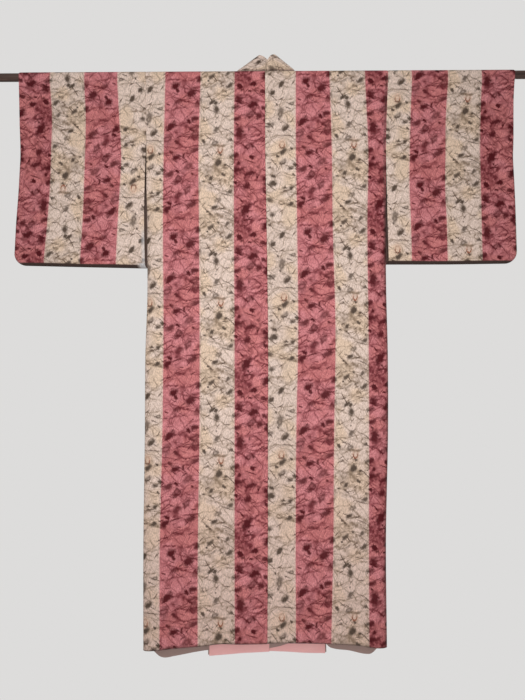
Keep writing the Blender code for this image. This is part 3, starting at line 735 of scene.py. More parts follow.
# the body: one strip of cloth a side, from the back's hem over the rod to the front's hem
body = {
    "sideRound": 0.025,
    "sideHemBlend": 0.040,
    "neckAngle": 110.0,
    "columns": 49,
    "neckColumns": 14,
    "overRodRows": (7, 11),  # behind the neck's edge, and on over the rod
    "notch": 0.0005,  # the side seam draws in
    "notchWidth": 0.0004,
    "seamLine": {"strength": 0.60, "inset": 0.0036, "width": 0.0024},  # painted shade along the right side seam
    "centreShade": {"strength": 0.085, "x": 0.036, "half": 0.045, "top": 0.32, "end": 1.22, "fade": 0.16},
    "hemLine": {"strength": 0.68, "height": 0.0014, "fade": 0.0036},  # painted shade along the hem's fold
    "edges": {
        "at": (0.000, 0.205, 0.390, 0.560, 0.720, 0.917, 1.172, 1.430),
        "left": (-0.3070, -0.3040, -0.3035, -0.3012, -0.3055, -0.3056, -0.3074, -0.3060),
        "centre": (-0.0020, -0.0025, -0.0005, 0.0010, 0.0014, -0.0005, -0.0022, -0.0048),
        "right": (0.3125, 0.3028, 0.3010, 0.2996, 0.3006, 0.2974, 0.2878, 0.2853),
    },
    "hems": {
        "at": (-0.310, -0.262, -0.230, -0.180, -0.150, -0.107, -0.070, -0.020,
               0.020, 0.060, 0.132, 0.150, 0.195, 0.250, 0.290),
        "back": (1.4345, 1.4305, 1.4282, 1.4234, 1.4212, 1.4176, 1.4166, 1.4180,
                 1.4166, 1.4166, 1.4172, 1.4182, 1.4216, 1.4280, 1.4305),
        "front": (1.4345, 1.4580, 1.4555, 1.4480, 1.4440, 1.4430, 1.4420, 1.4400,
                  1.4340, 1.4235, 1.4225, 1.4372, 1.4440, 1.4525, 1.4305),
    },
    left: {
        "at": (0.019, 0.205, 0.388, 0.656, 0.917, 1.172, 1.408),
        "first": (-0.2567, -0.2600, -0.2610, -0.2585, -0.2606, -0.2652, -0.2649),
        "second": (-0.1672, -0.1719, -0.1707, -0.1688, -0.1691, -0.1728, -0.1731),
        "third": (-0.0799, -0.0822, -0.0825, -0.0820, -0.0823, -0.0832, -0.0832),
        "marks": (0.09, 0.18, 0.27),
        "start": 0.0,
        "way": 1.0,
    },
    right: {
        "at": (0.019, 0.205, 0.388, 0.656, 0.917, 1.172, 1.408),
        "first": (0.0765, 0.0753, 0.0764, 0.0768, 0.0695, 0.0656, 0.0642),
        "second": (0.1625, 0.1659, 0.1653, 0.1689, 0.1621, 0.1574, 0.1492),
        "third": (0.2536, 0.2587, 0.2531, 0.2516, 0.2489, 0.2442, 0.2412),
        "marks": (0.09, 0.18, 0.27),
        "start": 0.012,
        "way": 1.0,
    },
}


def sideX(side, depth):
    return readCurve(body["edges"], "left" if side == left else "right", depth)


def collarLineX(side, depth):  # where the front ends at the collar
    if depth <= cloth["collarPoint"]:
        return side * cloth["neckHalf"] * (1.0 - depth / cloth["collarPoint"])
    top = okumi[side]["top"]
    share = (depth - cloth["collarPoint"]) / (cloth["collarEnd"] - cloth["collarPoint"])
    return -side * top * share


def underarmOpen(depth):
    return 1.0 - ease((depth - cloth["sleeveSeam"]) / (cloth["underarm"] - cloth["sleeveSeam"]))


def bodyColumns(side, outer, inner):
    start = outer - side * body["sideRound"]
    columns = [outer - side * inset for inset in roundInsets(body["sideRound"])]
    near = closeTo(inner, -side)
    return columns + spread(start, near[0], body["columns"])[1:-1] + near


def bodyRow(side, nominal, layer):
    outer = sideX(side, nominal)
    if layer == "back":
        neck = side * (cloth["neckHalf"] + cloth["gap"])
        inner = readCurve(body["edges"], "centre", nominal) + side * cloth["gap"] / 2
        columns = bodyColumns(side, outer, neck)
        near = closeTo(inner, -side)
        columns += spread(neck, near[0], body["neckColumns"])[1:-1] + near
    else:
        inner = side * cloth["gap"] / 2
        if nominal < cloth["collarPoint"]:
            inner = collarLineX(side, nominal) + side * cloth["gap"]
        columns = bodyColumns(side, outer, inner)
    way = 1.0 if layer == "back" else -1.0
    opened = underarmOpen(nominal)
    points, depths, marks = [], [], []
    for x in columns:
        away = abs(outer - x)
        atSide = 1.0 - ease(away / body["sideHemBlend"])
        hem = between(readCurve(body["hems"], layer, x), readCurve(body["hems"], "back", x), atSide)
        depth = letOut(nominal, hem)
        rest = backDepth(x, depth) if layer == "back" else frontDepth(x, depth, side)
        tucked = tuckedIn(abs(x - inner), depth) + tuckedIn(hem - depth, x)
        rest += way * ease(depth / cloth["edgeFrom"]) * tucked
        if opened > 0.0:
            rest += way * opened * tuckedIn(away, depth)
        y = rounded(rest, 0.0, away + opened * body["sideRound"], body["sideRound"])
        notch = side * body["notch"] * (1.0 - opened) * max(1.0 - away / body["notchWidth"], 0.0)
        points.append(Vector((x - notch, y, -depth)))
        depths.append(way * (overRod + depth))
        marks.append(bodyPaintedShade(side, x, depth, away, hem - depth) if layer == "back" else (0.0, 0.0, 0.0))
    return mapRow(body[side], points, depths, len(roundInsets(body["sideRound"])), marks)


def bodyPaintedShade(side, x, depth, away, above):  # painted shade on the back: along the right side seam, along the hem's fold and right of the middle
    seamLine, hemLine, shade = body["seamLine"], body["hemLine"], body["centreShade"]
    dark = hemLine["strength"] * (1.0 - ease((above - hemLine["height"]) / hemLine["fade"]))
    if side == right:
        beside = (away - seamLine["inset"]) / seamLine["width"]
        dark = max(dark, seamLine["strength"] * math.exp(-beside * beside))
        fromShade = (x - shade["x"]) / shade["half"]
        reach = ease((depth - shade["top"]) / shade["fade"]) * ease((shade["end"] - depth) / shade["fade"])
        dark = max(dark, shade["strength"] * reach * math.exp(-fromShade * fromShade))
    return dark, 0.0, 0.0


def overRodRow(panel, columns, edges, angle):
    turn = math.radians(angle)
    points = []
    for x in columns:
        reach = cloth["layer"] - sum(tuckedIn(abs(x - edge), 0.0) for edge in edges)
        points.append(Vector((x, -reach * math.cos(turn), reach * math.sin(turn))))
    along = cloth["layer"] * (math.radians(90.0) - turn)
    return mapRow(panel, points, [along] * len(points))


def bodyStrip(side, name):
    nominals = evenly(0.0, cloth["underarm"])[:-1] + withEdge(cloth["underarm"], cloth["hem"])
    back = [bodyRow(side, nominal, "back") for nominal in nominals]
    front = [bodyRow(side, nominal, "front") for nominal in nominals]
    outer = sideX(side, 0.0)
    backX = [point.x for point, place in back[0]]
    frontX = [point.x for point, place in front[0]]
    wide = len(frontX)
    neckAt = 180.0 - body["neckAngle"]
    lowRows, highRows = body["overRodRows"]
    rise = [overRodRow(body[side], backX, (outer,), angle) for angle in spread(0.0, neckAt, lowRows)]
    over = [overRodRow(body[side], frontX, (outer,), angle) for angle in spread(neckAt, 180.0, highRows)]
    grids = (back, [row[wide - 1:] for row in rise], [row[:wide] for row in rise], over, front)
    return clothPiece(name, grids, cloth["wall"], (stripedSilk, bodyLining), (0.0, -1.0, 0.0))


# the okumi: the overlap panels on the fronts, from the collar down to the hem
okumi = {
    "columns": 26,
    "edgeParts": 9,  # at the pointed top an edge's close columns take one of so many parts
    "firstDepth": 0.245,
    "hems": {
        "at": (0.0, 0.5, 1.0),
        "left": (1.4440, 1.4470, 1.4500),
        "right": (1.4430, 1.4475, 1.4520),
    },
    left: {
        "top": 0.133, "hem": 0.140, "at": (0.0, 1.5), "start": 0.05, "way": 1.0,
        "first": (-0.0100, -0.0100), "second": (0.0780, 0.0780), "third": (0.1660, 0.1660),
        "marks": (0.0, 0.09, 0.18),
    },
    right: {
        "top": 0.142, "hem": 0.150, "at": (0.0, 1.5), "start": 0.21, "way": 1.0,
        "first": (-0.1680, -0.1680), "second": (-0.0780, -0.0780), "third": (0.0100, 0.0100),
        "marks": (0.18, 0.27, 0.36),
    },
}


def okumiRows(side, nominals, shift=0.0, drop=0.0, indent=0.0):
    rows = []
    for nominal in nominals:
        seam = -side * cloth["gap"] / 2
        share = (nominal - cloth["collarEnd"]) / (cloth["hem"] - cloth["collarEnd"])
        edge = collarLineX(side, nominal)
        if share > 0.0:
            edge = -side * between(okumi[side]["top"], okumi[side]["hem"], share)
        edge += side * indent
        wide = abs(edge - seam)
        insets = [min(inset, wide / okumi["edgeParts"]) for inset in edgeInsets]
        columns = [seam - side * inset for inset in insets]
        last = [edge + side * inset for inset in reversed(insets)]
        columns += spread(columns[-1], last[0], okumi["columns"])[1:-1] + last
        points, alongs = [], []
        for x in columns:
            hem = readCurve(okumi["hems"], "left" if side == left else "right", abs(x - seam) / wide)
            depth = letOut(nominal, hem)
            edges = min(abs(x - seam), abs(x - edge))
            y = frontDepth(x, depth, side) - shift - tuckedIn(edges, depth) - tuckedIn(hem - depth, x)
            lower = drop * max(depth - cloth["letOutFrom"], 0.0) / (hem - cloth["letOutFrom"])
            points.append(Vector((x, y, -depth - lower)))
            alongs.append(-overRod - depth)
        rows.append(mapRow(okumi[side], points, alongs))
    return rows


def okumiPanel(side, name):
    nominals = withEdge(okumi["firstDepth"], cloth["hem"])
    rows = okumiRows(side, nominals)
    return clothPiece(name, (rows,), cloth["wall"], (stripedSilk, bodyLining), (0.0, 1.0, 0.0))


# the salmon lining that shows below the back's hem, inside the okumi
hemBand = {"height": 0.150, "wall": 0.0007, "shift": 0.0016, "drop": 0.0020, "indent": 0.0030}


def hemBandPiece(side, name):
    nominals = withEdge(cloth["hem"] - hemBand["height"], cloth["hem"])
    rows = okumiRows(side, nominals, hemBand["shift"], hemBand["drop"], hemBand["indent"])
    return clothPiece(name, (rows,), hemBand["wall"], (hemLining,), (0.0, -1.0, 0.0))


# the sleeves: one strip each over the rod, closed at the bottom and below the wrist
sleeve = {
    "round": 0.010,
    "corner": 0.030,
    "foldY": 0.005,
    "full": 0.45,
    "furiBack": 0.0030,  # the furi is the sleeve's free edge beside the body
    "furiFront": 0.0070,
    "furiFrontSwing": 0.10,
    "furiFoldSwing": 0.75,
    "wristThin": 0.0030,
    "roundExtra": 0.4,  # share of the fold's height that the cloth is longer round it
    "columns": 50,
    "cornerRows": 4,
    "overRodRows": 18,
    "bottomFrom": 0.456,
    "bottom": 0.492,
    "shadeAndPale": {  # marks painted on the cloth, shade and pale lining: where each ends and how softly
        "bottomDark": (0.0048, 0.0016),
        "cornerPale": (0.0075, 0.0020),
        "cornerWide": (0.0150, 0.0010),
        "slitPale": (0.0045, 0.0030),
        "slitDark": (0.030, 0.015),
        "cornerStrength": 0.85,
        "slitStrength": 0.45,
        "paleFrom": (0.38, 0.04),
        "darkFrom": (0.16, 0.03),
    },
    "edges": {
        "at": (0.000, 0.060, 0.120, 0.180, 0.228, 0.300, 0.390, 0.500),
        "leftOuter": (0.6320, 0.6290, 0.6268, 0.6245, 0.6270, 0.6300, 0.6360, 0.6400),
        "rightOuter": (0.6375, 0.6315, 0.6290, 0.6280, 0.6285, 0.6305, 0.6325, 0.6330),
        "leftFuri": (0.0000, 0.0000, 0.0000, 0.0006, 0.0026, 0.0045, 0.0046, 0.0034),
        "rightFuri": (0.0000, 0.0000, 0.0000, 0.0000, 0.0012, 0.0020, 0.0026, 0.0046),
    },
    "hems": {
        "at": (0.0, 0.5, 1.0),
        "left": (0.4972, 0.4928, 0.4880),
        "right": (0.4905, 0.4912, 0.4900),
    },
    left: {
        "at": (0.019, 0.112, 0.205, 0.297, 0.388, 0.478),
        "first": (-0.5520, -0.5444, -0.5447, -0.5465, -0.5525, -0.5596),
        "second": (-0.4637, -0.4589, -0.4598, -0.4615, -0.4643, -0.4690),
        "third": (-0.3795, -0.3738, -0.3681, -0.3709, -0.3749, -0.3786),
        "marks": (0.27, 0.18, 0.09),  # this strip is turned end for end
        "start": 0.140,
        "way": -1.0,
    },
    right: {
        "at": (0.019, 0.112, 0.205, 0.297, 0.388),
        "first": (0.3732, 0.3677, 0.3640, 0.3611, 0.3624),
        "second": (0.4654, 0.4574, 0.4544, 0.4512, 0.4532),
        "third": (0.5521, 0.5452, 0.5410, 0.5407, 0.5404),
        "marks": (0.09, 0.18, 0.27),
        "start": 0.130,
        "way": 1.0,
    },
}


def sleeveCorner(across, down):  # bends the distances from the two edges round the corner
    size = sleeve["corner"]
    if across >= size or down >= size:
        return across, down, min(across, down)
    flatX, flatZ = 1.0 - across / size, 1.0 - down / size
    reach = max(flatX, flatZ)
    if reach == 0.0:
        return across, down, size
    turn = math.pi / 4 * flatZ / flatX if flatX >= flatZ else math.pi / 2 - math.pi / 4 * flatX / flatZ
    return size * (1.0 - reach * math.cos(turn)), size * (1.0 - reach * math.sin(turn)), size * (1.0 - reach)


def sleeveRow(side, depth, up, layer):
    named = "left" if side == left else "right"
    furi = readCurve(sleeve["edges"], named + "Furi", depth)
    own = furi if layer == "back" else furi * sleeve["furiFrontSwing"]
    parted = 1.0 if up is None else rounded(1.0, 0.0, up, sleeve["round"])
    inner = sideX(side, depth) + side * (cloth["gap"] + between(furi * sleeve["furiFoldSwing"], own, parted))
    outer = side * readCurve(sleeve["edges"], named + "Outer", depth)
    insets = roundInsets(sleeve["round"])
    insets += spread(sleeve["round"], sleeve["corner"], sleeve["cornerRows"])[1:]
    wide = abs(outer - inner)
    near = closeTo(wide, 1.0)
    insets += spread(sleeve["corner"], near[0], sleeve["columns"])[1:-1] + near
    way = 1.0 if layer == "back" else -1.0
    points, alongs, marks = [], [], []
    for inset in insets:
        share = 1.0 - inset / wide
        hem = readCurve(sleeve["hems"], named, share)
        across, above, distance = sleeveCorner(inset, hem - depth if up is None else up)
        x, level = outer - side * across, hem - above
        full = ease((level - cloth["sleeveSeam"]) / (sleeve["full"] - cloth["sleeveSeam"]))
        wristOpen = 1.0 - ease((level - cloth["sleeveSeam"] / 2) / (cloth["sleeveSeam"] / 2))
        if layer == "back":
            rest = backDepth(x, level) - sleeve["furiBack"] * full * (1.0 - share)
        else:
            rest = frontDepth(x, level) + sleeve["furiFront"] * full * (1.0 - share)
        rest += way * sleeve["wristThin"] * full * share
        rest += way * (tuckedIn(wide - inset, level) + wristOpen * tuckedIn(inset, level))
        distance = min(distance + wristOpen * sleeve["round"], above)
        y = rounded(rest, sleeve["foldY"] * full, distance, sleeve["round"])
        points.append(Vector((x, y, -level)))
        alongs.append(way * (overRod + level + sleeve["roundExtra"] * max(sleeve["round"] - above, 0.0)))
        marks.append(sleeveShadeAndPale(side, layer, wide - inset, above, level))
    return mapRow(sleeve[side], points, alongs, len(roundInsets(sleeve["round"])), marks)


def sleeveShadeAndPale(side, layer, toInner, above, level):  # painted shade along the bottom edge, the pale lining at the corner and slit, and painted shade in the slit
    def within(mark, distance):
        limit, fadeOver = sleeve["shadeAndPale"][mark]
        return 1.0 - ease((distance - limit) / fadeOver)

    corner = within("cornerWide", toInner) if side == left else 0.0
    # painted shade along the underside of the bottom fold
    dark = (1.0 - corner) * within("bottomDark", above)
    pale = sleeve["shadeAndPale"]["cornerStrength"] * corner * within("cornerPale", above)
    if side == left:
        slit = within("slitPale", toInner) * (1.0 - within("paleFrom", level))
        pale = max(pale, sleeve["shadeAndPale"]["slitStrength"] * slit)
    # painted shade inside the slit between sleeve and body
    inside = within("slitDark", toInner) * (1.0 - within("darkFrom", level)) if layer == "front" else 0.0
    return dark, pale, inside


def sleevePiece(side, name):
    grids = []
    for layer in ("back", "front"):
        rows = [sleeveRow(side, depth, None, layer) for depth in evenly(0.0, sleeve["bottomFrom"])]
        ups = spread(sleeve["corner"], sleeve["round"], sleeve["cornerRows"])[:-1]
        ups += roundInsets(sleeve["round"])[::-1]
        rows += [sleeveRow(side, sleeve["bottom"] - up, up, layer) for up in ups]
        grids.append(rows)
    columns = [point.x for point, place in grids[0][0]]
    edges = (columns[0], columns[-1])
    grids.append([overRodRow(sleeve[side], columns, edges, angle)
                  for angle in spread(0.0, 180.0, sleeve["overRodRows"])])
    return clothPiece(name, grids, cloth["wall"], (stripedSilk, bodyLining), (0.0, -1.0, 0.0))


# the collar: a folded band round the neck and down both fronts, and the over-collar on it
collar = {
    "backWidth": 0.055,
    "endWidth": 0.075,
    "taperFrom": 0.200,
    "neckEase": 0.0018,
    "lowEase": 0.0006,
    "easeFrom": 0.030,
    "easeOver": 0.050,
    "lineStep": 0.001,
    "halfThick": 0.00075,
    "wall": 0.0005,
    "stations": (0.055, 0.085, 0.120, 0.155, 0.190, 0.228, 0.270, 0.315,
                 0.360, 0.430, 0.510, 0.600, 0.700, 0.800),
    "overHalfThick": 0.0018,
    "overWall": 0.0006,
    "overFrom": 0.10,  # share of the band's width that stays bare along the seam
    "overEnd": 0.360,
    "valleyShade": 0.34,
    # painted shade along the seam and along the fold line
    "seamLine": {"strength": 0.60, "height": 0.0045, "fade": 0.0030},
    "foldLine": {"strength": 0.60, "inset": 0.0095, "width": 0.0013},
    "neck": {  # sections from the middle of the back over the shoulder
        "at": (0, 1, 2, 3, 4, 5, 6, 7, 8, 9, 10),
        "seamX": (0.0, 0.0110, 0.0260, 0.0460, 0.0650, 0.0765, 0.0785, 0.0790, 0.0797, 0.0754, 0.0692),
        "seamY": (-0.0022, -0.0022, -0.0022, -0.0022, -0.002, 0.001, 0.0062, 0.0108, 0.013, 0.0132, 0.013),
        "seamZ": (0.0107, 0.0107, 0.0107, 0.0107, 0.0108, 0.0118, 0.0102, 0.0056, 0.0, -0.0120, -0.0300),
        "edgeY": (0.0020, 0.0030, 0.0045, 0.0055, 0.0070, 0.0092, 0.0118, 0.0138, 0.0150, 0.0148, 0.0138),
        "rightX": (0.0045, 0.0095, 0.0140, 0.0180, 0.0222, 0.0262, 0.0292, 0.0302, 0.0300, 0.0268, 0.0195),
        "rightZ": (0.0435, 0.0505, 0.0570, 0.0590, 0.0598, 0.0596, 0.0560, 0.0470, 0.0340, 0.0175, -0.0080),
        "leftX": (-0.0045, 0.0020, 0.0075, 0.0125, 0.0175, 0.0220, 0.0252, 0.0266, 0.0270, 0.0248, 0.0190),
        "leftZ": (0.0435, 0.0495, 0.0545, 0.0567, 0.0578, 0.0574, 0.0540, 0.0450, 0.0330, 0.0170, -0.0080),
    },
    # creases across the band: way along it from the middle of the back, half width, depth
    "creases": (
        (-0.062, 0.0040, 0.0012), (-0.047, 0.0030, -0.0011), (-0.036, 0.0022, 0.0010),
        (-0.020, 0.0024, -0.0011), (-0.008, 0.0022, 0.0008), (0.004, 0.0020, -0.0010),
        (0.012, 0.0022, 0.0010), (0.026, 0.0026, -0.0009), (0.047, 0.0030, 0.0009),
        (0.066, 0.0040, -0.0008), (-0.150, 0.0080, 0.0008), (0.142, 0.0080, 0.0008),
        (-0.236, 0.0100, -0.0007), (0.262, 0.0100, -0.0007), (-0.410, 0.0120, 0.0008),
        (0.455, 0.0120, 0.0008), (0.640, 0.0120, 0.0007),
    ),
    # shares of the width, closest near the fold line
    "sides": (0.0, 0.015, 0.035, 0.07, 0.11, 0.16, 0.24, 0.32, 0.40, 0.48, 0.56, 0.64, 0.72, 0.77,
              0.80, 0.82, 0.84, 0.86, 0.89, 0.94, 1.0),
    "foldAngles": (72.0, 54.0, 36.0, 18.0, 0.0, -18.0, -36.0, -54.0, -72.0),
    "endRound": 0.003,
    "endThick": 0.4,  # share of the thickness left at a rounded end
    "overEndThick": 0.72,
    "creaseFull": 0.25,  # share of the width at which the creases are full
    "drawn": 0.00035,  # small puckers
    "drawnWaves": (60.0, 2.0, 900.0),
    "start": (0.002, 0.10),  # where the band lies on the striped cloth
    "grid": 0.005,
}


def neckSection(side, place):
    ends = []
    own = "left" if side == left else "right"
    for names in (("seamX", "seamY", "seamZ"), (own + "X", "edgeY", own + "Z")):
        x, y, z = (readCurve(collar["neck"], name, place) for name in names)
        ends.append(Vector((side * x, y + lifted(side, side * x, -z), z)))
    return ends


def frontSection(side, depth):  # the band stands square to its seam
    top, low = depth - collar["lineStep"], min(depth + collar["lineStep"], cloth["collarEnd"])
    run = Vector((collarLineX(side, low) - collarLineX(side, top), 0.0, top - low)).normalized()
    out = Vector((side * run.z, 0.0, -side * run.x))
    wide = ease((depth - collar["taperFrom"]) / (cloth["collarEnd"] - collar["taperFrom"]))
    seam = Vector((collarLineX(side, depth), 0.0, -depth)) + out * cloth["gap"]
    edge = seam + out * between(collar["backWidth"], collar["endWidth"], wide)
    settled = ease((depth - collar["easeFrom"]) / collar["easeOver"])
    lying = between(collar["neckEase"], collar["lowEase"], settled)
    for point in (seam, edge):
        rest = cloth["layer"] + foldDepth(frontFolds, point.x, -point.z) + lying
        point.y = rest + lifted(side, point.x, -point.z)
    return [seam, edge]


def halfCollar(side):
    last = collar["neck"]["at"][-1]
    sections = [neckSection(side, place) for place in spread(0, last, 2 * last)]
    return sections + [frontSection(side, depth) for depth in collar["stations"]]


def curvePoint(before, start, end, after, share):  # on a smooth curve through four points
    square = share * share
    cube = square * share
    return 0.5 * ((2 * start) + (end - before) * share + (2 * before - 5 * start + 4 * end - after) * square
                  + (3 * start - before - 3 * end + after) * cube)


def collarRun():  # close sections along the whole collar, with their way from the middle of the back
    leftHalf, rightHalf = halfCollar(left), halfCollar(right)
    coarse = leftHalf[::-1] + rightHalf[1:]
    middle = len(leftHalf) - 1
    run, wayAlong, centre = [], 0.0, 0.0
    for i in range(len(coarse) - 1):
        near = [coarse[max(i - 1, 0)], coarse[i], coarse[i + 1], coarse[min(i + 2, len(coarse) - 1)]]
        longest = max((near[2][j] - near[1][j]).length for j in (0, 1))
        if i == middle:
            centre = wayAlong
        count = max(round(longest / collar["grid"]), 1)
        for k in range(count + (i == len(coarse) - 2)):
            seam, edge = (curvePoint(*(section[j] for section in near), k / count) for j in (0, 1))
            if run:
                wayAlong += (seam.lerp(edge, 0.5) - run[-1][0].lerp(run[-1][1], 0.5)).length
            run.append((seam, edge, wayAlong))
    return [(seam, edge, along - centre) for seam, edge, along in run]


def collarPaintedShade(share, wide, out, valley):  # painted shade along the seam, the fold line and in the gathers, on the outside
    if out <= 0.0 or share == 1.0:
        return 0.0
    seamLine, foldLine = collar["seamLine"], collar["foldLine"]
    beside = ((1.0 - share) * wide - foldLine["inset"]) / foldLine["width"]
    seamDark = seamLine["strength"] * (1.0 - ease((share * wide - seamLine["height"]) / seamLine["fade"]))
    return max(seamDark, valley, foldLine["strength"] * math.exp(-beside * beside))


def bandPiece(name, run, half, wall, shareFrom, ends):
    # each section goes up the outside, round the fold and down the inside
    sides = [between(shareFrom, 1.0, share) for share in collar["sides"]]
    route = [(share, 1.0, 0.0) for share in sides]
    turns = [math.radians(angle) for angle in collar["foldAngles"]]
    route += [(1.0, math.sin(turn), math.cos(turn)) for turn in turns]
    route += [(share, -1.0, 0.0) for share in reversed(sides)]
    rows = []
    for i, (seam, edge, along) in enumerate(run):
        before, after = run[max(i - 1, 0)], run[min(i + 1, len(run) - 1)]
        toEnd = min(along - run[0][2], run[-1][2] - along)
        thick = half * between(ends, 1.0, math.sqrt(min(max(toEnd, 0.0) / collar["endRound"], 1.0)))
        wide = (edge - seam).length
        across = (edge - seam).normalized()
        crease, valley = 0.0, 0.0
        for middle, halfWidth, depth in collar["creases"]:
            bell = math.exp(-(((along - middle) / halfWidth) ** 2))
            crease += depth * bell
            valley += collar["valleyShade"] * bell * bell if depth < 0.0 else 0.0
        row, around = [], 0.0
        for share, out, past in route:
            ahead = after[0].lerp(after[1], share) - before[0].lerp(before[1], share)
            normal = ahead.cross(across).normalized()
            low = max(1.0 - (share - shareFrom) * wide / collar["endRound"], 0.0)
            bare = thick * (1.0 - (1.0 - ends) * low ** 2)
            waves = Vector((along, share, half)) * Vector(collar["drawnWaves"])
            lean = crease * ease(share / collar["creaseFull"]) + collar["drawn"] * noise.noise(waves)
            point = seam.lerp(edge, share) + normal * (bare * out + lean) + across * (bare * past)
            if row:
                around += (point - row[-1][0]).length
            dark = collarPaintedShade(share, wide, out, valley)
            row.append((point, (collar["start"][0] + around, collar["start"][1] + along, dark, 0.0, 0.0)))
        rows.append(row)
    return clothPiece(name, (rows,), wall, (collarSilk,), (0.0, 0.0, 1.0))


bodyLeft = bodyStrip(left, "bodyLeft")
bodyRight = bodyStrip(right, "bodyRight")
sleeveLeft = sleevePiece(left, "sleeveLeft")
sleeveRight = sleevePiece(right, "sleeveRight")
okumiLeft = okumiPanel(left, "okumiLeft")
okumiRight = okumiPanel(right, "okumiRight")
hemLeft = hemBandPiece(left, "hemLeft")
hemRight = hemBandPiece(right, "hemRight")
wholeRun = collarRun()
collarBand = bandPiece("collarBand", wholeRun, collar["halfThick"], collar["wall"], 0.0, collar["endThick"])
covered = [i for i, (seam, edge, along) in enumerate(wholeRun) if -seam.z <= collar["overEnd"]]
overRun = wholeRun[covered[0]:covered[-1] + 1]
overCollar = bandPiece("overCollar", overRun, collar["overHalfThick"], collar["overWall"],
                       collar["overFrom"], collar["overEndThick"])

# what each piece stands for, and the cloth that it was cut from: width, length, area
sheets = (
    (bodyLeft, "body_left", "striped_silk", 0.320, 2.900, 0.880, "hung", ["rod"]),
    (bodyRight, "body_right", "striped_silk", 0.320, 2.900, 0.880, "hung", ["rod"]),
    (sleeveLeft, "sleeve_left", "striped_silk", 0.345, 1.015, None, "hung", ["rod"]),
    (sleeveRight, "sleeve_right", "striped_silk", 0.335, 1.020, None, "hung", ["rod"]),
    (okumiLeft, "okumi_left", "striped_silk", 0.140, 1.205, 0.130, "hung", [collarBand]),
    (okumiRight, "okumi_right", "striped_silk", 0.150, 1.207, 0.137, "hung", [collarBand]),
    (collarBand, "collar", "collar_silk", 0.152, 1.830, 0.230, "folded", [bodyLeft, bodyRight]),
    (overCollar, "over_collar", "collar_silk", 0.134, 0.925, 0.096, "folded", [collarBand]),
    (hemLeft, "hem_lining_left", "lining_silk", 0.140, 0.152, None, "hung", [okumiLeft]),
    (hemRight, "hem_lining_right", "lining_silk", 0.150, 0.152, None, "hung", [okumiRight]),
)
for piece, node, slot, width, length, area, held, restsOn in sheets:
    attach(piece, "root")
    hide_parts(node)
print("cloth pieces done")


# the rod: dark stained wood
wood = {
    "stretch": (3.0, 90.0, 90.0),
    "grain": {"Scale": 1.6, "Detail": 6.0, "Roughness": 0.62, "Distortion": 0.4},
    "grainFade": (0.32, 0.68),
    "dark": tone(58, 40, 36),
    "light": tone(104, 76, 66),
    "streaks": (5.0, 3.0),
    "streakFade": (0.52, 0.66, 0.0, 0.6),
    "streak": tone(40, 28, 26),
    "roughness": (0.30, 0.70, 0.34, 0.52),
    "bump": {"Strength": 0.5, "Distance": 0.0003},
    "coat": 0.15,
    "coatRoughness": 0.30,
}


def woodMaterial(name):
    material, shader = newMaterial(name)
    place = output("Mapping", {"Vector": objectPlace(), "Scale": wood["stretch"]})
    grain = output("TexNoise", {"Vector": place, **wood["grain"]}, "Fac")
    streaks = fade(cloud(place, *wood["streaks"]), *wood["streakFade"])
    colour = mixColour(fade(grain, *wood["grainFade"]), wood["dark"], wood["light"])
    plug(shader.inputs["Base Color"], mixColour(streaks, colour, wood["streak"]))
    plug(shader.inputs["Roughness"], fade(grain, *wood["roughness"]))
    plug(shader.inputs["Normal"], output("Bump", {**wood["bump"], "Height": grain}, "Normal"))
    plug(shader.inputs["Coat Weight"], wood["coat"])
    plug(shader.inputs["Coat Roughness"], wood["coatRoughness"])
    return material


rodWood = woodMaterial("rodWood")
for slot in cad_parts["rod"].material_slots:
    slot.material = rodWood
print("rod finished")

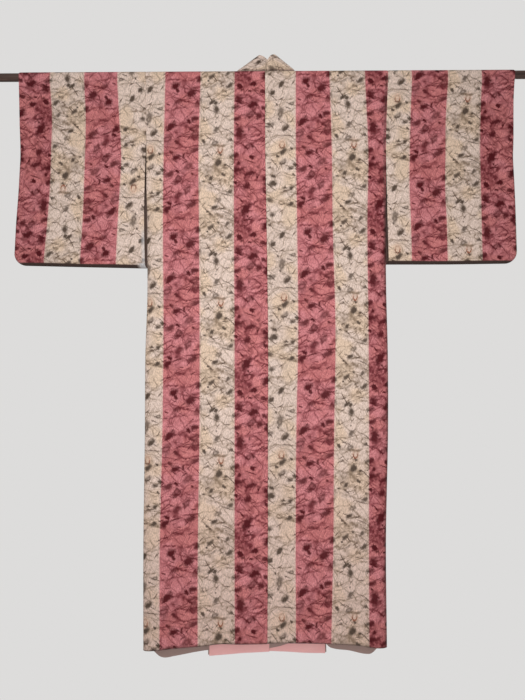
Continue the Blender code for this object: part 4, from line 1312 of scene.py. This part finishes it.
# stage: a pale floor well below the hem, a pale room and soft lamps
stage = {
    "floorRadius": 2.1,
    "floorThick": 0.02,
    "floorPlace": (0.0, -1.36, -2.05),
    "floorTone": tone(240, 239, 236),
    "floorRoughness": 0.8,
    "backdrop": tone(221, 220, 219),
    "fillTone": (1.0, 0.985, 0.965, 1.0),
    "fill": 0.29,
    "lamps": (  # place, aim, width, tall, spread in degrees, watts
        ((-0.55, -1.5, 0.35), (0.0, 0.0, -0.5), 0.6, 0.6, 180.0, 4.3),
        ((0.0, -1.42, -0.66), (0.0, 0.0, -0.66), 0.5, 1.5, 108.0, 5.5),
        ((0.8, 2.6, 0.8), (0.0, 0.0, -0.6), 1.4, 1.4, 180.0, 60.0),
    ),
}
bpy.ops.mesh.primitive_cylinder_add(
    vertices=96, radius=stage["floorRadius"], depth=stage["floorThick"], location=stage["floorPlace"])
floor = bpy.context.object
floor.name = "floor"
floorPaint, floorShader = newMaterial("floorPaint")
plug(floorShader.inputs["Base Color"], stage["floorTone"])
plug(floorShader.inputs["Roughness"], stage["floorRoughness"])
floor.data.materials.append(floorPaint)

for i, (place, aim, width, tall, spreadOut, watts) in enumerate(stage["lamps"]):
    lamp = bpy.data.lights.new(f"lamp{i}", "AREA")
    lamp.shape = "RECTANGLE"
    lamp.size = width
    lamp.size_y = tall
    lamp.spread = math.radians(spreadOut)
    lamp.energy = watts
    lampObject = bpy.data.objects.new(f"lamp{i}", lamp)
    bpy.context.collection.objects.link(lampObject)
    lampObject.location = place
    lampObject.rotation_euler = (Vector(aim) - Vector(place)).to_track_quat("-Z", "Y").to_euler()

world = bpy.data.worlds.new("paleRoom")
bpy.context.scene.world = world
world.use_nodes = True
making["tree"] = world.node_tree
plain = world.node_tree.nodes["Background"]
plug(plain.inputs["Color"], stage["backdrop"])
fill = output("Background", {"Color": stage["fillTone"], "Strength": stage["fill"]})
seen = output("LightPath", {}, "Is Camera Ray")
both = output("MixShader", {0: seen, 1: fill, 2: Signal(plain.outputs[0])})
plug(world.node_tree.nodes["World Output"].inputs["Surface"], both)
bpy.context.scene.view_settings.view_transform = "Standard"

camera = {"place": (-0.013, -1.3155, -0.7778), "pitch": 3.10, "roll": 0.33, "lens": 27.05}
cameraData = bpy.data.cameras.new("camera")
cameraData.lens = camera["lens"]
cameraObject = bpy.data.objects.new("camera", cameraData)
bpy.context.collection.objects.link(cameraObject)
cameraObject.location = camera["place"]
cameraObject.rotation_euler = (math.radians(90.0 + camera["pitch"]), math.radians(camera["roll"]), 0.0)
bpy.context.scene.camera = cameraObject
print("stage set")
